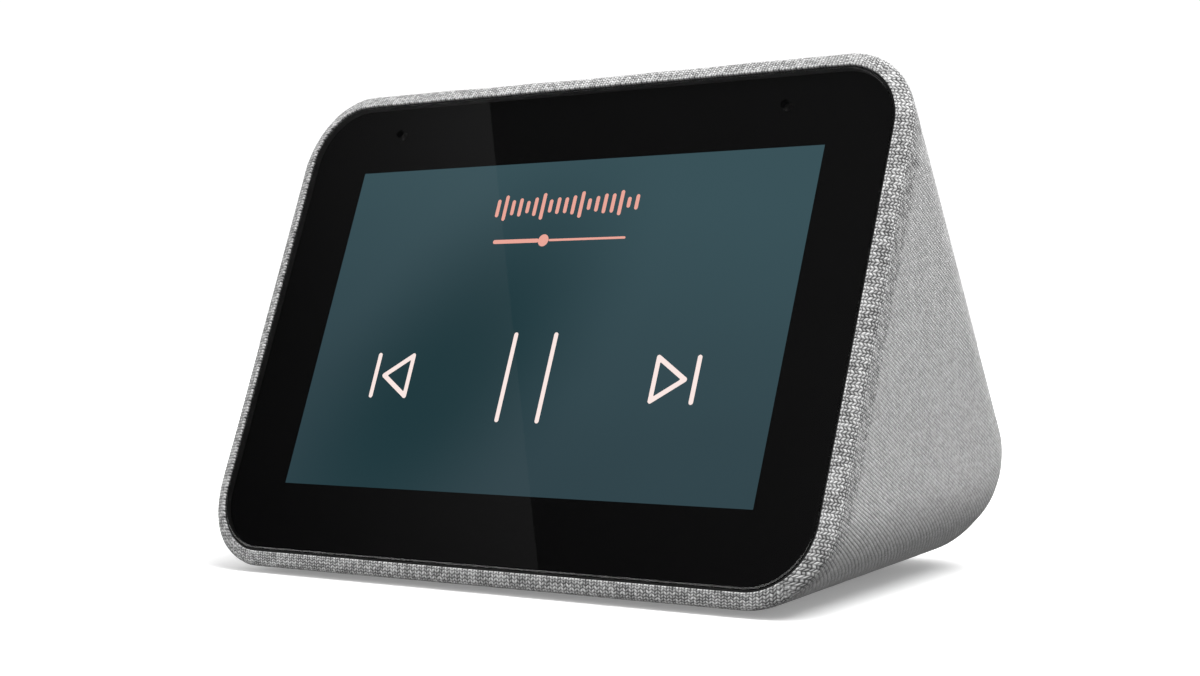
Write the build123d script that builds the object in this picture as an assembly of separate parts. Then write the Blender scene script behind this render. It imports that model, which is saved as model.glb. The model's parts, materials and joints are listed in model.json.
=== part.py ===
from build123d import *
import os
from math import atan2, cos, hypot, radians, sin, sqrt

# Wedge-shaped smart display speaker, in millimetres.
# +X is to the right as a user sees it, +Y runs to the back and +Z is up.
# The origin is on the table, under the middle of the whole object.

# ---- overall form ----
body_wide = 113.8          # across the widest line, the ridge round the face
body_deep = 83.0           # front of the ridge to the back
face_high = 79.2           # ridge to ridge, measured up the tilted face
face_tilt = radians(20)    # the face leans back by this much
corner_round = 12.1        # corners of the ridge, seen square to the face
front_set = 4.2            # the corner spheres sit this far ahead of the ridge
rear_round = 15.9          # rounding of the rear corners and edges
rear_half = 29.3           # half the distance between the rear corner centres
rear_rise = 1.15           # the belly rises this much from front to back
float_gap = 0.8            # the fabric clears the table by this at the front
lip_back = 0.85            # the ridge lies this far behind the glass

# ---- shells ----
fabric_thick = 0.9
skin_gap = 0.1             # between the fabric and the moulding
wall = 1.8                 # main housing
fit_gap = 0.15             # between pieces that fit into each other
split_skin = 0.2           # the front frame meets the housing this far inside the wall
spigot_deep = 5.0

# ---- face ----
lip_cover = 2.85           # lip of cloth and gasket on each side of the glass
lip_cover_high = 2.7       # and above and below it
glass_round = 9.4
glass_thick = 1.1
glass_edge = 0.4           # rounding of the glass edge
gasket_wide = 0.3
ink_thick = 0.1
tape_thick = 0.25
view_wide = 86.4           # lit picture area
view_high = 51.84
view_drop = 0.12           # the picture sits this much below the glass centre
view_right = 0.26          # and this much to the right of it
panel_wide = 96.0
panel_high = 59.5
panel_thick = 1.2
tray_thick = 2.2
tray_rim = 0.6
window_wide = 98.6
window_high = 62.0
window_round = 2.0
mic_apart = 72.5           # between the two microphone holes
mic_up = 31.9
mic_bore = 0.65
mic_board_size = (9.0, 3.4)
mic_board_up = 0.5         # board centre above its microphone hole
mic_board_thick = 0.8
mic_gasket_high = 1.2
mic_gasket_r = 1.4
chassis_thick = 1.0
ribbon_wide = 20.0
ribbon_thick = 0.25
ribbon_drop = 26.5         # ribbon slot below the glass centre
ribbon_foot = 5.5

# ---- screws ----
screw_r = 0.9
screw_head_r = 1.7
screw_head_high = 1.0
screw_gap = 0.1            # clearance round a screw in its hole
frame_screw_long = 8.0
frame_screw_up = 22.0
boss_r = 2.3
chassis_screw_up = 9.0
chassis_screw_long = 4.0
board_screw_long = 3.2
base_screw_long = 5.0

# ---- electronics ----
board_wide = 76.0
board_high = 38.0
board_thick = 1.2
board_drop = 3.0           # board centre below the glass centre
standoff_high = 3.0
standoff_r = 2.0
standoff_inset = 3.5
can_high = 1.6
processor_can = 22.0
radio_can = (15.0, 12.0)
processor_x = -14.0
radio_x = 22.0
radio_rise = 8.0           # radio can above the board centre
connector_x = 24.0
connector_drop = 9.0       # speaker connector below the board centre
pad_wide = 18.0
pad_thick = 0.5
spreader_size = (34.0, 26.0)
spreader_thick = 1.0
aerial_size = (22.0, 5.0)
aerial_thick = 0.3
aerial_x = 36.0
aerial_up = 23.0
connector_size = (6.0, 4.0)
connector_high = 3.0
lead_r = 0.6
lead_apart = 2.4

# ---- speaker ----
box_depth = 20.0           # the box lid lies this far behind the glass
box_half = 29.0
box_skin = 8.0             # the box face lies this far under the outer surface
box_low = 9.5
box_wall = 1.6
box_notch_y = 24.0         # the box steps forward of the sockets from here
box_notch_z = 22.8
lid_thick = 1.8
ear_half = 46.0
ear_high = 18.0
ear_drop = 6.0             # ears' centre below the glass centre
ear_screw_x = 42.0
ear_screw_apart = 11.0
box_gasket_thick = 0.5
driver_r = 18.6
driver_screw_inset = 3.0
driver_drop = 19.9         # driver centre, down the box face from its top edge
flange_thick = 1.2
flange_land = 2.2
flange_round = 5.0
basket_taper = 6.6         # the basket is this much narrower at its foot
basket_deep = 8.6
basket_skin = 0.9
spoke_wide = 5.0
top_plate_thick = 1.6
top_plate_r = 11.0
magnet_r = 10.4
magnet_bore = 6.8
magnet_thick = 4.2
yoke_thick = 1.6
coil_r = 5.3
coil_thick = 0.3
coil_long = 8.4
magnet_gap = 0.35          # between the coil and the iron on each side
cone_low = 4.2             # the cone neck is this far under the flange face
cone_skin = 0.5
cap_sphere_r = 9.0
cap_r = 6.0
cap_skin = 0.3
roll_r = 1.5               # half roll of the surround
roll_skin = 0.35
roll_land = 1.0
spider_waves = 3
spider_wave_high = 0.4
spider_skin = 0.3
part_gap = 0.15            # bonded soft rings are drawn this far from the cone
radiator_r = 8.0
radiator_thick = 1.2
radiator_weight_r = 4.0
radiator_weight_thick = 1.0
radiator_frame_r = 13.0
radiator_frame_thick = 1.5
radiator_margin = 0.8      # radiator frame to the edges of its side of the box
grille_slot = 2.2
grille_pitch = 4.4
grille_rows = 8
grille_long = 30.0
side_grille_long = 22.0
side_grille_rows = 5

# ---- volume buttons ----
pill_down = 17.0           # pill centre, down the back slope from the ridge
pill_long = 27.0
pill_wide = 9.0
pill_rim = 0.9
pill_flange = 2.0
pill_flange_thick = 0.85
button_gap = 0.3
button_proud = 0.3
button_low = 3.2
button_travel = 0.4
mark_long = 3.4
mark_wide = 0.7
mark_high = 0.15
tact_size = 3.2
tact_high = 0.9
tact_stem = 0.3
tact_gap = 0.15
button_board_thick = 0.8

# ---- sockets at the back ----
port_up = 17.6
port_long = 56.0
port_high = 13.0
port_sunk = 1.6            # panel face below the rearmost line
port_skirt = 7.0
port_wall = 1.4
port_apart = 18.5          # jack and mute slider, each side of the USB socket
jack_wide = 9.0
jack_long = 12.0
jack_bore = 2.9
jack_collar = 0.25         # collar wall round the jack bore
jack_end_wall = 1.5
lip_sunk = 0.2             # socket mouths below the panel face
jack_pin_r = 1.0
usb_wide = 13.2
usb_high = 5.7
usb_long = 13.0
usb_wall = 0.35
usb_tongue = (10.4, 1.7)
usb_floor = 1.0            # closed end of the USB socket
usb_tongue_sunk = 1.5
foot_narrow = 2.0          # socket feet are this much narrower than their bodies
mute_slot = (9.0, 3.4)
mute_knob_long = 4.4
mute_knob_proud = 0.6
mute_flange = (1.5, 0.5)   # past the knob, along and across the slot
mute_flange_thick = 1.2
mute_foot = 2.5
mute_travel = 2.0
mute_body = (10.0, 4.6, 3.6)
port_board_long = 54.0
port_board_deep = 8.0
port_board_thick = 1.2

# ---- base ----
base_wide = 66.0
base_deep = 50.0
base_round = 15.0
base_y = -3.0
base_low = 1.2
base_thick = 2.4
ledge_in = 6.0
base_screw_edge = 2.3
ledge_thick = 2.0
foot_wide = 58.0
foot_deep = 42.0
foot_round = 11.0
foot_ring = 5.0
foot_sunk = 0.6            # the foot ring sits this deep in the base plate

# ---- worked out from the above ----
glass_wide = body_wide - 2 * lip_cover
glass_high = face_high - 2 * lip_cover_high
split_depth = fabric_thick + skin_gap + wall + split_skin
cone_r = driver_r - flange_land - 2 * roll_r
basket_foot_r = driver_r - basket_taper
up = Vector(0, sin(face_tilt), cos(face_tilt))
into = Vector(0, cos(face_tilt), -sin(face_tilt))
front_round = hypot(corner_round, front_set)
ridge_half = face_high / 2 - corner_round
glass_y = -body_deep / 2 + face_high / 2 * sin(face_tilt) - lip_back * cos(face_tilt)
sphere_rise = ridge_half * cos(face_tilt) - (front_set - lip_back) * sin(face_tilt)
glass_z = float_gap + front_round + sphere_rise
face = Plane(origin=(0, glass_y, glass_z), x_dir=(1, 0, 0), z_dir=-into)
rear_y = body_deep / 2
rear_centre = Vector(rear_half, rear_y - rear_round, float_gap + rear_rise + rear_round)
rear_soft = rear_round - front_round
lip_wide = (body_wide - glass_wide) / 2 - gasket_wide
lip_high = (face_high - glass_high) / 2 - gasket_wide


def half(shape, point, normal):
    """Keep the part of a shape that lies behind a plane."""
    return split(shape, Plane(origin=point, z_dir=normal), keep=Keep.BOTTOM)


def at_face(across, along, out=0.0):
    """A point given in the tilted frame of the glass."""
    return face.origin + Vector(across, 0, 0) + up * along - into * out


def slab(plane, outline, low, high):
    """Extrude an outline drawn on a plane between two heights above it."""
    return extrude(plane.offset(low) * outline, amount=high - low)


def disc(plane, radius, low, high, across=0.0, along=0.0):
    """A round solid standing on a plane."""
    return slab(plane, Pos(across, along) * Circle(radius), low, high)


def ring(plane, outer, inner, low, high, across=0.0, along=0.0):
    """A round tube standing on a plane."""
    outline = Pos(across, along) * (Circle(outer) - Circle(inner))
    return slab(plane, outline, low, high)


def plate(plane, wide, high, radius, bottom, top, across=0.0, along=0.0):
    """A round-cornered plate lying on a plane."""
    outline = Pos(across, along) * RectangleRounded(wide, high, radius)
    return slab(plane, outline, bottom, top)


def block(plane, wide, high, bottom, top, across=0.0, along=0.0):
    """A square-cornered block lying on a plane."""
    return slab(plane, Pos(across, along) * Rectangle(wide, high), bottom, top)


def pill(plane, long, wide, low, high):
    """A pill-shaped solid standing on a plane, long way along its x."""
    return slab(plane, SlotOverall(long, wide), low, high)


def corners(across, along):
    """The four sign pairs of a rectangle, scaled to its half sizes."""
    return [(sx * across, sy * along) for sx in (-1, 1) for sy in (-1, 1)]


def screw(plane, across, along, top, long):
    """A pan-head screw whose shank points down from a height above a plane."""
    head = disc(plane, screw_head_r, top, top + screw_head_high, across, along)
    return head + disc(plane, screw_r, top - long, top, across, along)


def save(name, *shapes):
    """Write one node, made of one solid or of several separate ones."""
    solids = [solid for shape in shapes for solid in shape.solids()]
    model = solids[0] if len(solids) == 1 else Compound(children=solids)
    export_step(model, f"parts/{name}.step")


# ---- the outer surface: a faceted core, grown outward with round edges ----
def tangent(start, start_r, end, end_r, side):
    """The plane that touches two spheres on one side: normal and offset."""
    line = end - start
    apart = line.length
    line = line.normalized()
    side = (side - line * side.dot(line)).normalized()
    lean = (start_r - end_r) / apart
    normal = line * lean + side * sqrt(1 - lean * lean)
    return normal, normal.dot(start) + start_r


def blend(first, second):
    """The direction halfway between two others."""
    return (first + second).normalized()


def mirror_x(vector):
    """The same direction on the other side."""
    return Vector(-vector.X, vector.Y, vector.Z)


def flat(vector):
    """A point or direction with nothing across."""
    return Vector(0, vector.Y, vector.Z)


def make_core():
    """The faceted solid that every rounded shell grows from."""
    low = at_face(body_wide / 2 - corner_round, -ridge_half, front_set - lip_back)
    high = at_face(body_wide / 2 - corner_round, ridge_half, front_set - lip_back)
    back = rear_centre
    top_n, top_d = tangent(flat(high), 0, flat(back), rear_soft, Vector(0, 1, 1))
    belly_n, belly_d = tangent(flat(low), 0, flat(back), rear_soft, Vector(0, 0, -1))
    edge = (high - low).normalized()
    square = (back - low) - edge * (back - low).dot(edge)
    side_n, side_d = tangent(low, 0, low + square, rear_soft, Vector(1, 0, 0))
    planes = [(-into, (-into).dot(low)), (top_n, top_d), (belly_n, belly_d)]
    first = atan2(top_n.Z, top_n.Y)
    last = atan2(belly_n.Z, belly_n.Y)
    rolls = [first + (last - first) * step / 3 for step in (1, 2)]
    rear_n = [Vector(0, cos(turn), sin(turn)) for turn in rolls]
    planes += [(normal, normal.dot(flat(back)) + rear_soft) for normal in rear_n]
    upper = tangent(high, 0, back, rear_soft, blend(side_n, top_n))
    lower = tangent(low, 0, back, rear_soft, blend(side_n, belly_n))
    sides = [(side_n, side_d), upper, lower]
    for normal in rear_n:
        corner = blend(side_n, normal)
        sides.append((corner, corner.dot(back) + rear_soft))
    planes += sides + [(mirror_x(normal), reach) for normal, reach in sides]
    core = Box(4 * body_wide, 4 * body_wide, 4 * body_wide)
    for normal, reach in planes:
        core = half(core, normal * reach, normal)
    return core.solids()[0], top_n, belly_n


core, slope_n, belly_n = make_core()
spread = 3                 # the lip cone runs on past the ridge, to meet the sides


def form(inset):
    """The solid inside the outer surface, this far in, behind its sloping lip."""
    skin = offset(core, amount=front_round - inset, kind=Kind.ARC).solids()[0]
    near = RectangleRounded(
        body_wide - 2 * lip_wide,
        face_high - 2 * lip_high,
        glass_round + gasket_wide,
    )
    far = RectangleRounded(
        body_wide + 2 * (spread - 1) * lip_wide,
        face_high + 2 * (spread - 1) * lip_high,
        corner_round + (spread - 1) * lip_wide,
    )
    behind = -inset - spread * lip_back
    cone = loft([face.offset(behind) * far, face.offset(-inset) * near])
    room = slab(face, far, behind - 2 * body_deep, behind)
    return skin & (cone + room)


os.makedirs("parts", exist_ok=True)
outer = form(0)
fabric_in = form(fabric_thick)
mould_out = form(fabric_thick + skin_gap)
inner_inset = fabric_thick + skin_gap + wall
mould_in = form(inner_inset)
spigot_out = form(inner_inset + fit_gap)
chassis_edge = form(inner_inset + 2 * fit_gap)

slope_top = at_face(0, face_high / 2, -lip_back)
slope_down = Vector(0, slope_n.Z, -slope_n.Y)
slope_far = slope_n.dot(flat(rear_centre)) + rear_round


def slope_plane(down, depth):
    """A plane under the back slope: x across, y up the slope, z outward."""
    point = slope_top + slope_down * down
    point = point + slope_n * (slope_far - depth - slope_n.dot(point))
    return Plane(origin=point, x_dir=(1, 0, 0), z_dir=slope_n)


pill_plane = slope_plane(pill_down, 0)
port_plane = Plane(origin=(0, rear_y - port_sunk, port_up), x_dir=(-1, 0, 0), z_dir=(0, 1, 0))
floor = Plane(origin=(0, base_y, 0), x_dir=(1, 0, 0), z_dir=(0, 0, 1))
mouth = RectangleRounded(
    glass_wide + 2 * gasket_wide + 0.1,
    glass_high + 2 * gasket_wide + 0.1,
    glass_round + gasket_wide,
)
far_cut = 3 * wall + box_skin

box_plane = slope_plane(0, box_skin)
box_edge = at_face(0, 0, -box_depth) - box_plane.origin
box_top = box_plane.origin + slope_down * (box_edge.dot(into) / slope_down.dot(into))
driver_plane = Plane(origin=box_top + slope_down * driver_drop, x_dir=(1, 0, 0), z_dir=slope_n)
back = Plane(origin=face.origin, x_dir=(1, 0, 0), z_dir=into)   # heights run into the body
radiator_z = box_low + radiator_frame_r + radiator_margin
radiator_depth = box_depth + lid_thick + radiator_frame_r + radiator_margin
radiator_y = glass_y + (radiator_depth + (radiator_z - glass_z) * sin(face_tilt)) / cos(face_tilt)

# ---- casing ----
base_cut = plate(floor, base_wide + 2 * fit_gap, base_deep + 2 * fit_gap, base_round, -1,
                 base_low + base_thick + fit_gap)
pill_cut = pill(pill_plane, pill_long + 2 * fit_gap, pill_wide + 2 * fit_gap, -far_cut, 2)
port_cut = pill(port_plane, port_long + 2 * fit_gap, port_high + 2 * fit_gap, -far_cut, 5)
fabric = outer - fabric_in - slab(face, mouth, -split_depth, 1)
fabric = fabric - base_cut - pill_cut - port_cut
save("fabric_sleeve", fabric)

split_point = at_face(0, 0, -split_depth)
housing = half(mould_out, split_point, -into) - mould_in
ledge = plate(floor, base_wide + 4, base_deep + 4, base_round + 2, base_low,
              base_low + base_thick + fit_gap + ledge_thick)
housing = housing + (ledge & mould_in)
frame_boss_x = glass_wide / 2 - screw_head_r - 0.6
frame_screw_low = -glass_thick - ink_thick - tape_thick - screw_head_high
for sx, sy in corners(frame_boss_x, frame_screw_up):
    boss = disc(face, boss_r, -split_depth - frame_screw_long, -split_depth, sx, sy)
    boss = half(boss & mould_in, split_point, -into)
    housing = housing + boss
    housing = housing - disc(face, screw_r + screw_gap, -split_depth - frame_screw_long, 0, sx, sy)
ledge_cut = plate(floor, base_wide - 2 * ledge_in, base_deep - 2 * ledge_in, base_round - ledge_in,
                  0, 2 * box_low)
housing = housing - base_cut - (ledge_cut & plate(floor, base_wide, base_deep, base_round, 0, box_low))
base_screw_reach = (base_round - base_screw_edge) * sqrt(0.5)
base_screw_at = corners(base_wide / 2 - base_round + base_screw_reach,
                        base_deep / 2 - base_round + base_screw_reach)
base_screw_end = base_low + foot_sunk + screw_head_high + base_screw_long
for sx, sy in base_screw_at:
    housing = housing + disc(floor, boss_r, base_low + base_thick + fit_gap, base_screw_end, sx, sy)
housing = housing - pill_cut - port_cut
for sx, sy in base_screw_at:
    housing = housing - disc(floor, screw_r + screw_gap, 0, base_screw_end, sx, sy)
for row in range(grille_rows):
    rise = (row - (grille_rows - 1) / 2) * grille_pitch
    outline = Pos(0, rise) * SlotOverall(grille_long, grille_slot)
    housing = housing - slab(driver_plane, outline, box_skin - inner_inset - wall, box_skin + 3)
for row in range(side_grille_rows):
    rise = (row - (side_grille_rows - 1) / 2) * grille_pitch
    outline = Pos(radiator_y, radiator_z + rise) * SlotOverall(side_grille_long, grille_slot)
    housing = housing - slab(Plane.YZ, outline, -body_wide, body_wide)
save("main_housing", housing)

base = plate(floor, base_wide, base_deep, base_round, base_low, base_low + base_thick)
foot_outline = RectangleRounded(foot_wide, foot_deep, foot_round)
foot_hole = RectangleRounded(foot_wide - 2 * foot_ring, foot_deep - 2 * foot_ring, foot_round - foot_ring)
groove = RectangleRounded(foot_wide + 2 * fit_gap, foot_deep + 2 * fit_gap, foot_round + fit_gap)
groove = groove - RectangleRounded(foot_wide - 2 * foot_ring - 2 * fit_gap,
                                   foot_deep - 2 * foot_ring - 2 * fit_gap,
                                   foot_round - foot_ring - fit_gap)
base = base - slab(floor, groove, 0, base_low + foot_sunk)
save("foot_ring", slab(floor, foot_outline - foot_hole, 0, base_low + foot_sunk))
for sx, sy in base_screw_at:
    base = base - disc(floor, screw_head_r + screw_gap, 0, base_low + foot_sunk + screw_head_high, sx, sy)
    base = base - disc(floor, screw_r + screw_gap, 0, 2 * box_low, sx, sy)
save("base_plate", base)
under = Plane(origin=(0, base_y, 0), x_dir=(1, 0, 0), z_dir=(0, 0, -1))
base_screw_face = -base_low - foot_sunk - screw_head_high
save("base_screws", *[
    screw(under, sx, sy, base_screw_face, base_screw_long) for sx, sy in base_screw_at
])

# ---- front frame and glass ----
glass_back = glass_thick + ink_thick
shelf = glass_back + tape_thick
spigot_end = split_depth + spigot_deep
rim = half(mould_out, split_point, into)
spigot = half(half(spigot_out, split_point, -into), at_face(0, 0, -spigot_end), into)
for sx, sy in corners(frame_boss_x, frame_screw_up):
    spigot = spigot - disc(back, boss_r + fit_gap, split_depth, spigot_end + 1, sx, sy)
frame = rim + spigot
pocket = RectangleRounded(glass_wide + 2 * gasket_wide, glass_high + 2 * gasket_wide,
                          glass_round + gasket_wide)
frame = frame - slab(face, pocket, -shelf, 1)
frame = frame - plate(face, window_wide, window_high, window_round, -2 * spigot_end, 1)
for sx, sy in corners(frame_boss_x, frame_screw_up):
    frame = frame - disc(face, screw_head_r + screw_gap, frame_screw_low, 0, sx, sy)
    frame = frame - disc(face, screw_r + screw_gap, -2 * spigot_end, 0, sx, sy)
mic_x = mic_apart / 2
board_wide_cut = mic_board_size[0] + 2 * fit_gap
board_high_cut = mic_board_size[1] + 2 * fit_gap
mic_depth = split_depth + mic_gasket_high
for side in (-1, 1):
    frame = frame - disc(face, mic_bore, -spigot_end, 0, side * mic_x, mic_up)
    frame = frame - block(face, board_wide_cut, board_high_cut, -mic_depth - mic_board_thick - fit_gap,
                          -split_depth, side * mic_x, mic_up + mic_board_up)
chassis_screw_x = window_wide / 2 + screw_r + 0.3
for sx, sy in corners(chassis_screw_x, chassis_screw_up):
    frame = frame - disc(back, screw_r + screw_gap, spigot_end - chassis_screw_long, spigot_end + 1, sx, sy)
save("front_frame", frame)
save("frame_screws", *[
    screw(face, sx, sy, frame_screw_low, frame_screw_long - 1)
    for sx, sy in corners(frame_boss_x, frame_screw_up)
])

mic_holes = [disc(face, mic_bore, -spigot_end, 1, side * mic_x, mic_up) for side in (-1, 1)]
glass = plate(face, glass_wide, glass_high, glass_round, -glass_thick, 0)
front_edges = glass.edges().filter_by(lambda edge: abs((edge.center() - face.origin).dot(into)) < 0.01)
glass = fillet(front_edges, glass_edge)
glass = glass - mic_holes
save("cover_glass", glass)
ink = plate(face, glass_wide - glass_edge, glass_high - glass_edge, glass_round - glass_edge / 2,
            -glass_back, -glass_thick)
ink = ink - block(face, view_wide, view_high, -glass_back - 1, 0, view_right, -view_drop)
save("glass_ink_border", ink - mic_holes)
tape = plate(face, glass_wide - 1, glass_high - 1, glass_round - 0.5, -shelf, -glass_back)
tape = tape - plate(face, window_wide + 0.5, window_high + 0.3, window_round, -shelf - 1, 0)
save("glass_tape", tape - mic_holes)
seal = RectangleRounded(glass_wide + 2 * gasket_wide - 0.1, glass_high + 2 * gasket_wide - 0.1,
                        glass_round + gasket_wide)
seal = seal - RectangleRounded(glass_wide + 0.1, glass_high + 0.1, glass_round + 0.05)
save("glass_gasket", slab(face, seal, -shelf, -gasket_wide))
save("microphone_gaskets", *[
    ring(back, mic_gasket_r, mic_bore, split_depth, mic_depth, side * mic_x, -mic_up) for side in (-1, 1)
])
mic_board_at = -mic_up - mic_board_up
save("microphone_boards", *[
    block(back, *mic_board_size, mic_depth, mic_depth + mic_board_thick, side * mic_x, mic_board_at)
    for side in (-1, 1)
])

# ---- display ----
panel_back = glass_back + panel_thick
tray_back = panel_back + tray_thick
save("display_panel", block(face, panel_wide, panel_high, -panel_back, -glass_back, view_right, -view_drop))
tray = plate(back, panel_wide + 2 * tray_rim, panel_high + 2 * tray_rim, tray_rim, glass_back + fit_gap,
             tray_back, view_right, view_drop)
tray = tray - block(back, panel_wide + 2 * fit_gap, panel_high + 2 * fit_gap, 0, panel_back,
                    view_right, view_drop)
save("backlight_tray", tray)

# ---- chassis and electronics ----
chassis_back = spigot_end + chassis_thick
chassis = half(half(chassis_edge, at_face(0, 0, -spigot_end), -into), at_face(0, 0, -chassis_back), into)
for sx, sy in corners(frame_boss_x, frame_screw_up):
    chassis = chassis - disc(back, boss_r + fit_gap, 0, 2 * spigot_end, sx, sy)
for sx, sy in corners(chassis_screw_x, chassis_screw_up):
    chassis = chassis - disc(back, screw_r + screw_gap, 0, 2 * spigot_end, sx, sy)
chassis = chassis - block(back, ribbon_wide + 2, 4 * ribbon_thick + 1, 0, 2 * spigot_end, 0, ribbon_drop)
board_front = chassis_back + standoff_high
board_back = board_front + board_thick
board_screw_at = [
    (sx, sy + board_drop)
    for sx, sy in corners(board_wide / 2 - standoff_inset, board_high / 2 - standoff_inset)
]
ear_screw_at = [(sx, sy + ear_drop) for sx, sy in corners(ear_screw_x, ear_screw_apart / 2)]
for sx, sy in board_screw_at:
    chassis = chassis + ring(back, standoff_r, screw_r + screw_gap, chassis_back, board_front, sx, sy)
for sx, sy in ear_screw_at:
    chassis = chassis + ring(back, standoff_r, screw_r + screw_gap, chassis_back, box_depth, sx, sy)
save("chassis_plate", chassis)
save("chassis_screws", *[
    screw(back, sx, sy, chassis_back, chassis_screw_long - 0.5)
    for sx, sy in corners(chassis_screw_x, chassis_screw_up)
])
ribbon_top = tray_back + ribbon_thick
ribbon_end = board_front - ribbon_thick
ribbon = block(back, ribbon_wide, ribbon_thick, tray_back, board_front, 0, ribbon_drop)
ribbon_middle = ribbon_drop - ribbon_foot / 2
ribbon = ribbon + block(back, ribbon_wide, ribbon_foot, tray_back, ribbon_top, 0, ribbon_middle)
ribbon = ribbon + block(back, ribbon_wide, ribbon_foot, ribbon_end, board_front, 0, ribbon_middle)
save("display_ribbon", ribbon)
main_board = plate(back, board_wide, board_high, 1.5, board_front, board_back, 0, board_drop)
for sx, sy in board_screw_at:
    main_board = main_board - disc(back, screw_r + screw_gap, 0, box_depth, sx, sy)
save("main_board", main_board)
save("board_screws", *[screw(back, sx, sy, board_back, board_screw_long) for sx, sy in board_screw_at])
can_back = board_back + can_high
can_skin = 0.2


def shield_can(wide, high, across, along):
    """A folded metal can with an open underside."""
    can = plate(back, wide, high, 1, board_back, can_back, across, along)
    return can - block(back, wide - 2 * can_skin, high - 2 * can_skin, 0, can_back - can_skin, across, along)


processor_at = (processor_x, board_drop)
save("processor_shield", shield_can(processor_can, processor_can, *processor_at))
save("radio_shield", shield_can(*radio_can, radio_x, board_drop - radio_rise))
save("thermal_pad", block(back, pad_wide, pad_wide, can_back, can_back + pad_thick, *processor_at))
spreader_front = can_back + pad_thick
save("heat_spreader", plate(back, *spreader_size, 2, spreader_front, spreader_front + spreader_thick,
                            *processor_at))
save("aerials", *[
    block(back, *aerial_size, chassis_back, chassis_back + aerial_thick, side * aerial_x, -aerial_up)
    for side in (-1, 1)
])
connector_at = (connector_x, board_drop + connector_drop)
connector_back = board_back + connector_high
save("speaker_connector", block(back, *connector_size, board_back, connector_back, *connector_at))
save("speaker_leads", *[
    disc(back, lead_r, connector_back, box_depth, connector_at[0] + offset_x, connector_at[1])
    for offset_x in (-lead_apart / 2, lead_apart / 2)
])


# ---- speaker box ----
def box_form(inset, depth):
    """The wedge of the speaker box, this far inside its faces and behind the glass."""
    shape = block(Plane.XY, 2 * (box_half - inset), 4 * body_deep, box_low + inset, 2 * face_high)
    shape = half(shape, driver_plane.origin - slope_n * inset, slope_n)
    shape = half(shape, at_face(0, 0, -depth), -into)
    step = Plane(origin=(0, box_notch_y - inset + body_deep, 0), x_dir=(1, 0, 0), z_dir=(0, 0, 1))
    return shape - block(step, 2 * body_wide, 2 * body_deep, -1, box_notch_z + inset)


lid_back = box_depth + lid_thick
tub_front = lid_back + box_gasket_thick
lid = half(box_form(0, box_depth), at_face(0, 0, -lid_back), into)
lid = lid + plate(back, 2 * ear_half, ear_high, 3, box_depth, lid_back, 0, ear_drop)
for sx, sy in ear_screw_at:
    lid = lid - disc(back, screw_r + screw_gap, 0, 2 * box_depth, sx, sy)
save("speaker_box_lid", lid)
save("lid_screws", *[screw(back, sx, sy, lid_back, board_screw_long + 2) for sx, sy in ear_screw_at])
box_room = box_form(box_wall, box_depth)
band = half(box_form(0, lid_back), at_face(0, 0, -tub_front), into)
save("box_gasket", band - box_room)
basket_mouth = driver_r - flange_land
driver_hole = basket_mouth + basket_skin
tub = box_form(0, tub_front) - box_room
tub = tub - disc(driver_plane, driver_hole, -2 * box_wall, 1)
radiator_hole = radiator_r + 2 * roll_r
sides = {
    "left": Plane(origin=(-box_half, radiator_y, radiator_z), x_dir=(0, 1, 0), z_dir=(-1, 0, 0)),
    "right": Plane(origin=(box_half, radiator_y, radiator_z), x_dir=(0, 1, 0), z_dir=(1, 0, 0)),
}
for plane in sides.values():
    tub = tub - disc(plane, radiator_hole, -2 * box_wall, 1)
driver_screw_at = corners(driver_r - driver_screw_inset, driver_r - driver_screw_inset)
for sx, sy in driver_screw_at:
    tub = tub - disc(driver_plane, screw_r + screw_gap, -2 * box_wall, 1, sx, sy)
save("speaker_box", tub)


def spin(plane, outline):
    """Turn an outline, drawn as radius and height, about a plane's own axis."""
    return plane.location * revolve(Plane.XZ * outline, axis=Axis.Z)


def half_roll(radius, land_height, inner_land, inner_height):
    """Section of a rubber half roll with a land on each side."""
    middle = radius + roll_r
    dome = Pos(middle, land_height) * (Circle(roll_r) - Circle(roll_r - roll_skin))
    dome = dome & (Pos(middle, land_height + 2 * roll_r) * Rectangle(4 * roll_r, 4 * roll_r))
    outer_land = Pos(radius + 2 * roll_r + roll_land / 2 - roll_skin / 2, land_height + roll_skin / 2)
    inside = Pos(radius - inner_land / 2 + roll_skin / 2, inner_height + roll_skin / 2)
    return (dome + outer_land * Rectangle(roll_land + roll_skin, roll_skin)
            + inside * Rectangle(inner_land + roll_skin, roll_skin))


# ---- driver, on the sloping face of the box ----
basket_low = -basket_deep
neck_r = coil_r + coil_thick / 2
basket = spin(driver_plane, make_face(Polyline(
    (driver_hole, 0), (driver_hole, flange_thick), (basket_mouth, flange_thick),
    (basket_foot_r - basket_skin, basket_low + basket_skin), (magnet_bore, basket_low + basket_skin),
    (magnet_bore, basket_low), (basket_foot_r, basket_low), close=True)))
flange = RectangleRounded(2 * driver_r, 2 * driver_r, flange_round) - Circle(basket_mouth)
basket = basket + slab(driver_plane, flange, 0, flange_thick)
vents = Circle(driver_r) - Circle(basket_foot_r - 3 * basket_skin)
vents = vents - Rectangle(spoke_wide, 3 * driver_r) - Rectangle(3 * driver_r, spoke_wide)
basket = basket - slab(driver_plane, vents, basket_low + 2 * basket_skin, -basket_skin)
for sx, sy in driver_screw_at:
    basket = basket - disc(driver_plane, screw_r + screw_gap, -1, 2 * flange_thick, sx, sy)
save("driver_basket", basket)
save("driver_screws", *[
    screw(driver_plane, sx, sy, flange_thick, box_wall + flange_thick) for sx, sy in driver_screw_at
])
top_plate_low = basket_low - top_plate_thick
magnet_low = top_plate_low - magnet_thick
save("driver_top_plate", ring(driver_plane, top_plate_r, neck_r + magnet_gap, top_plate_low, basket_low))
save("driver_magnet", ring(driver_plane, magnet_r, magnet_bore, magnet_low, top_plate_low))
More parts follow.
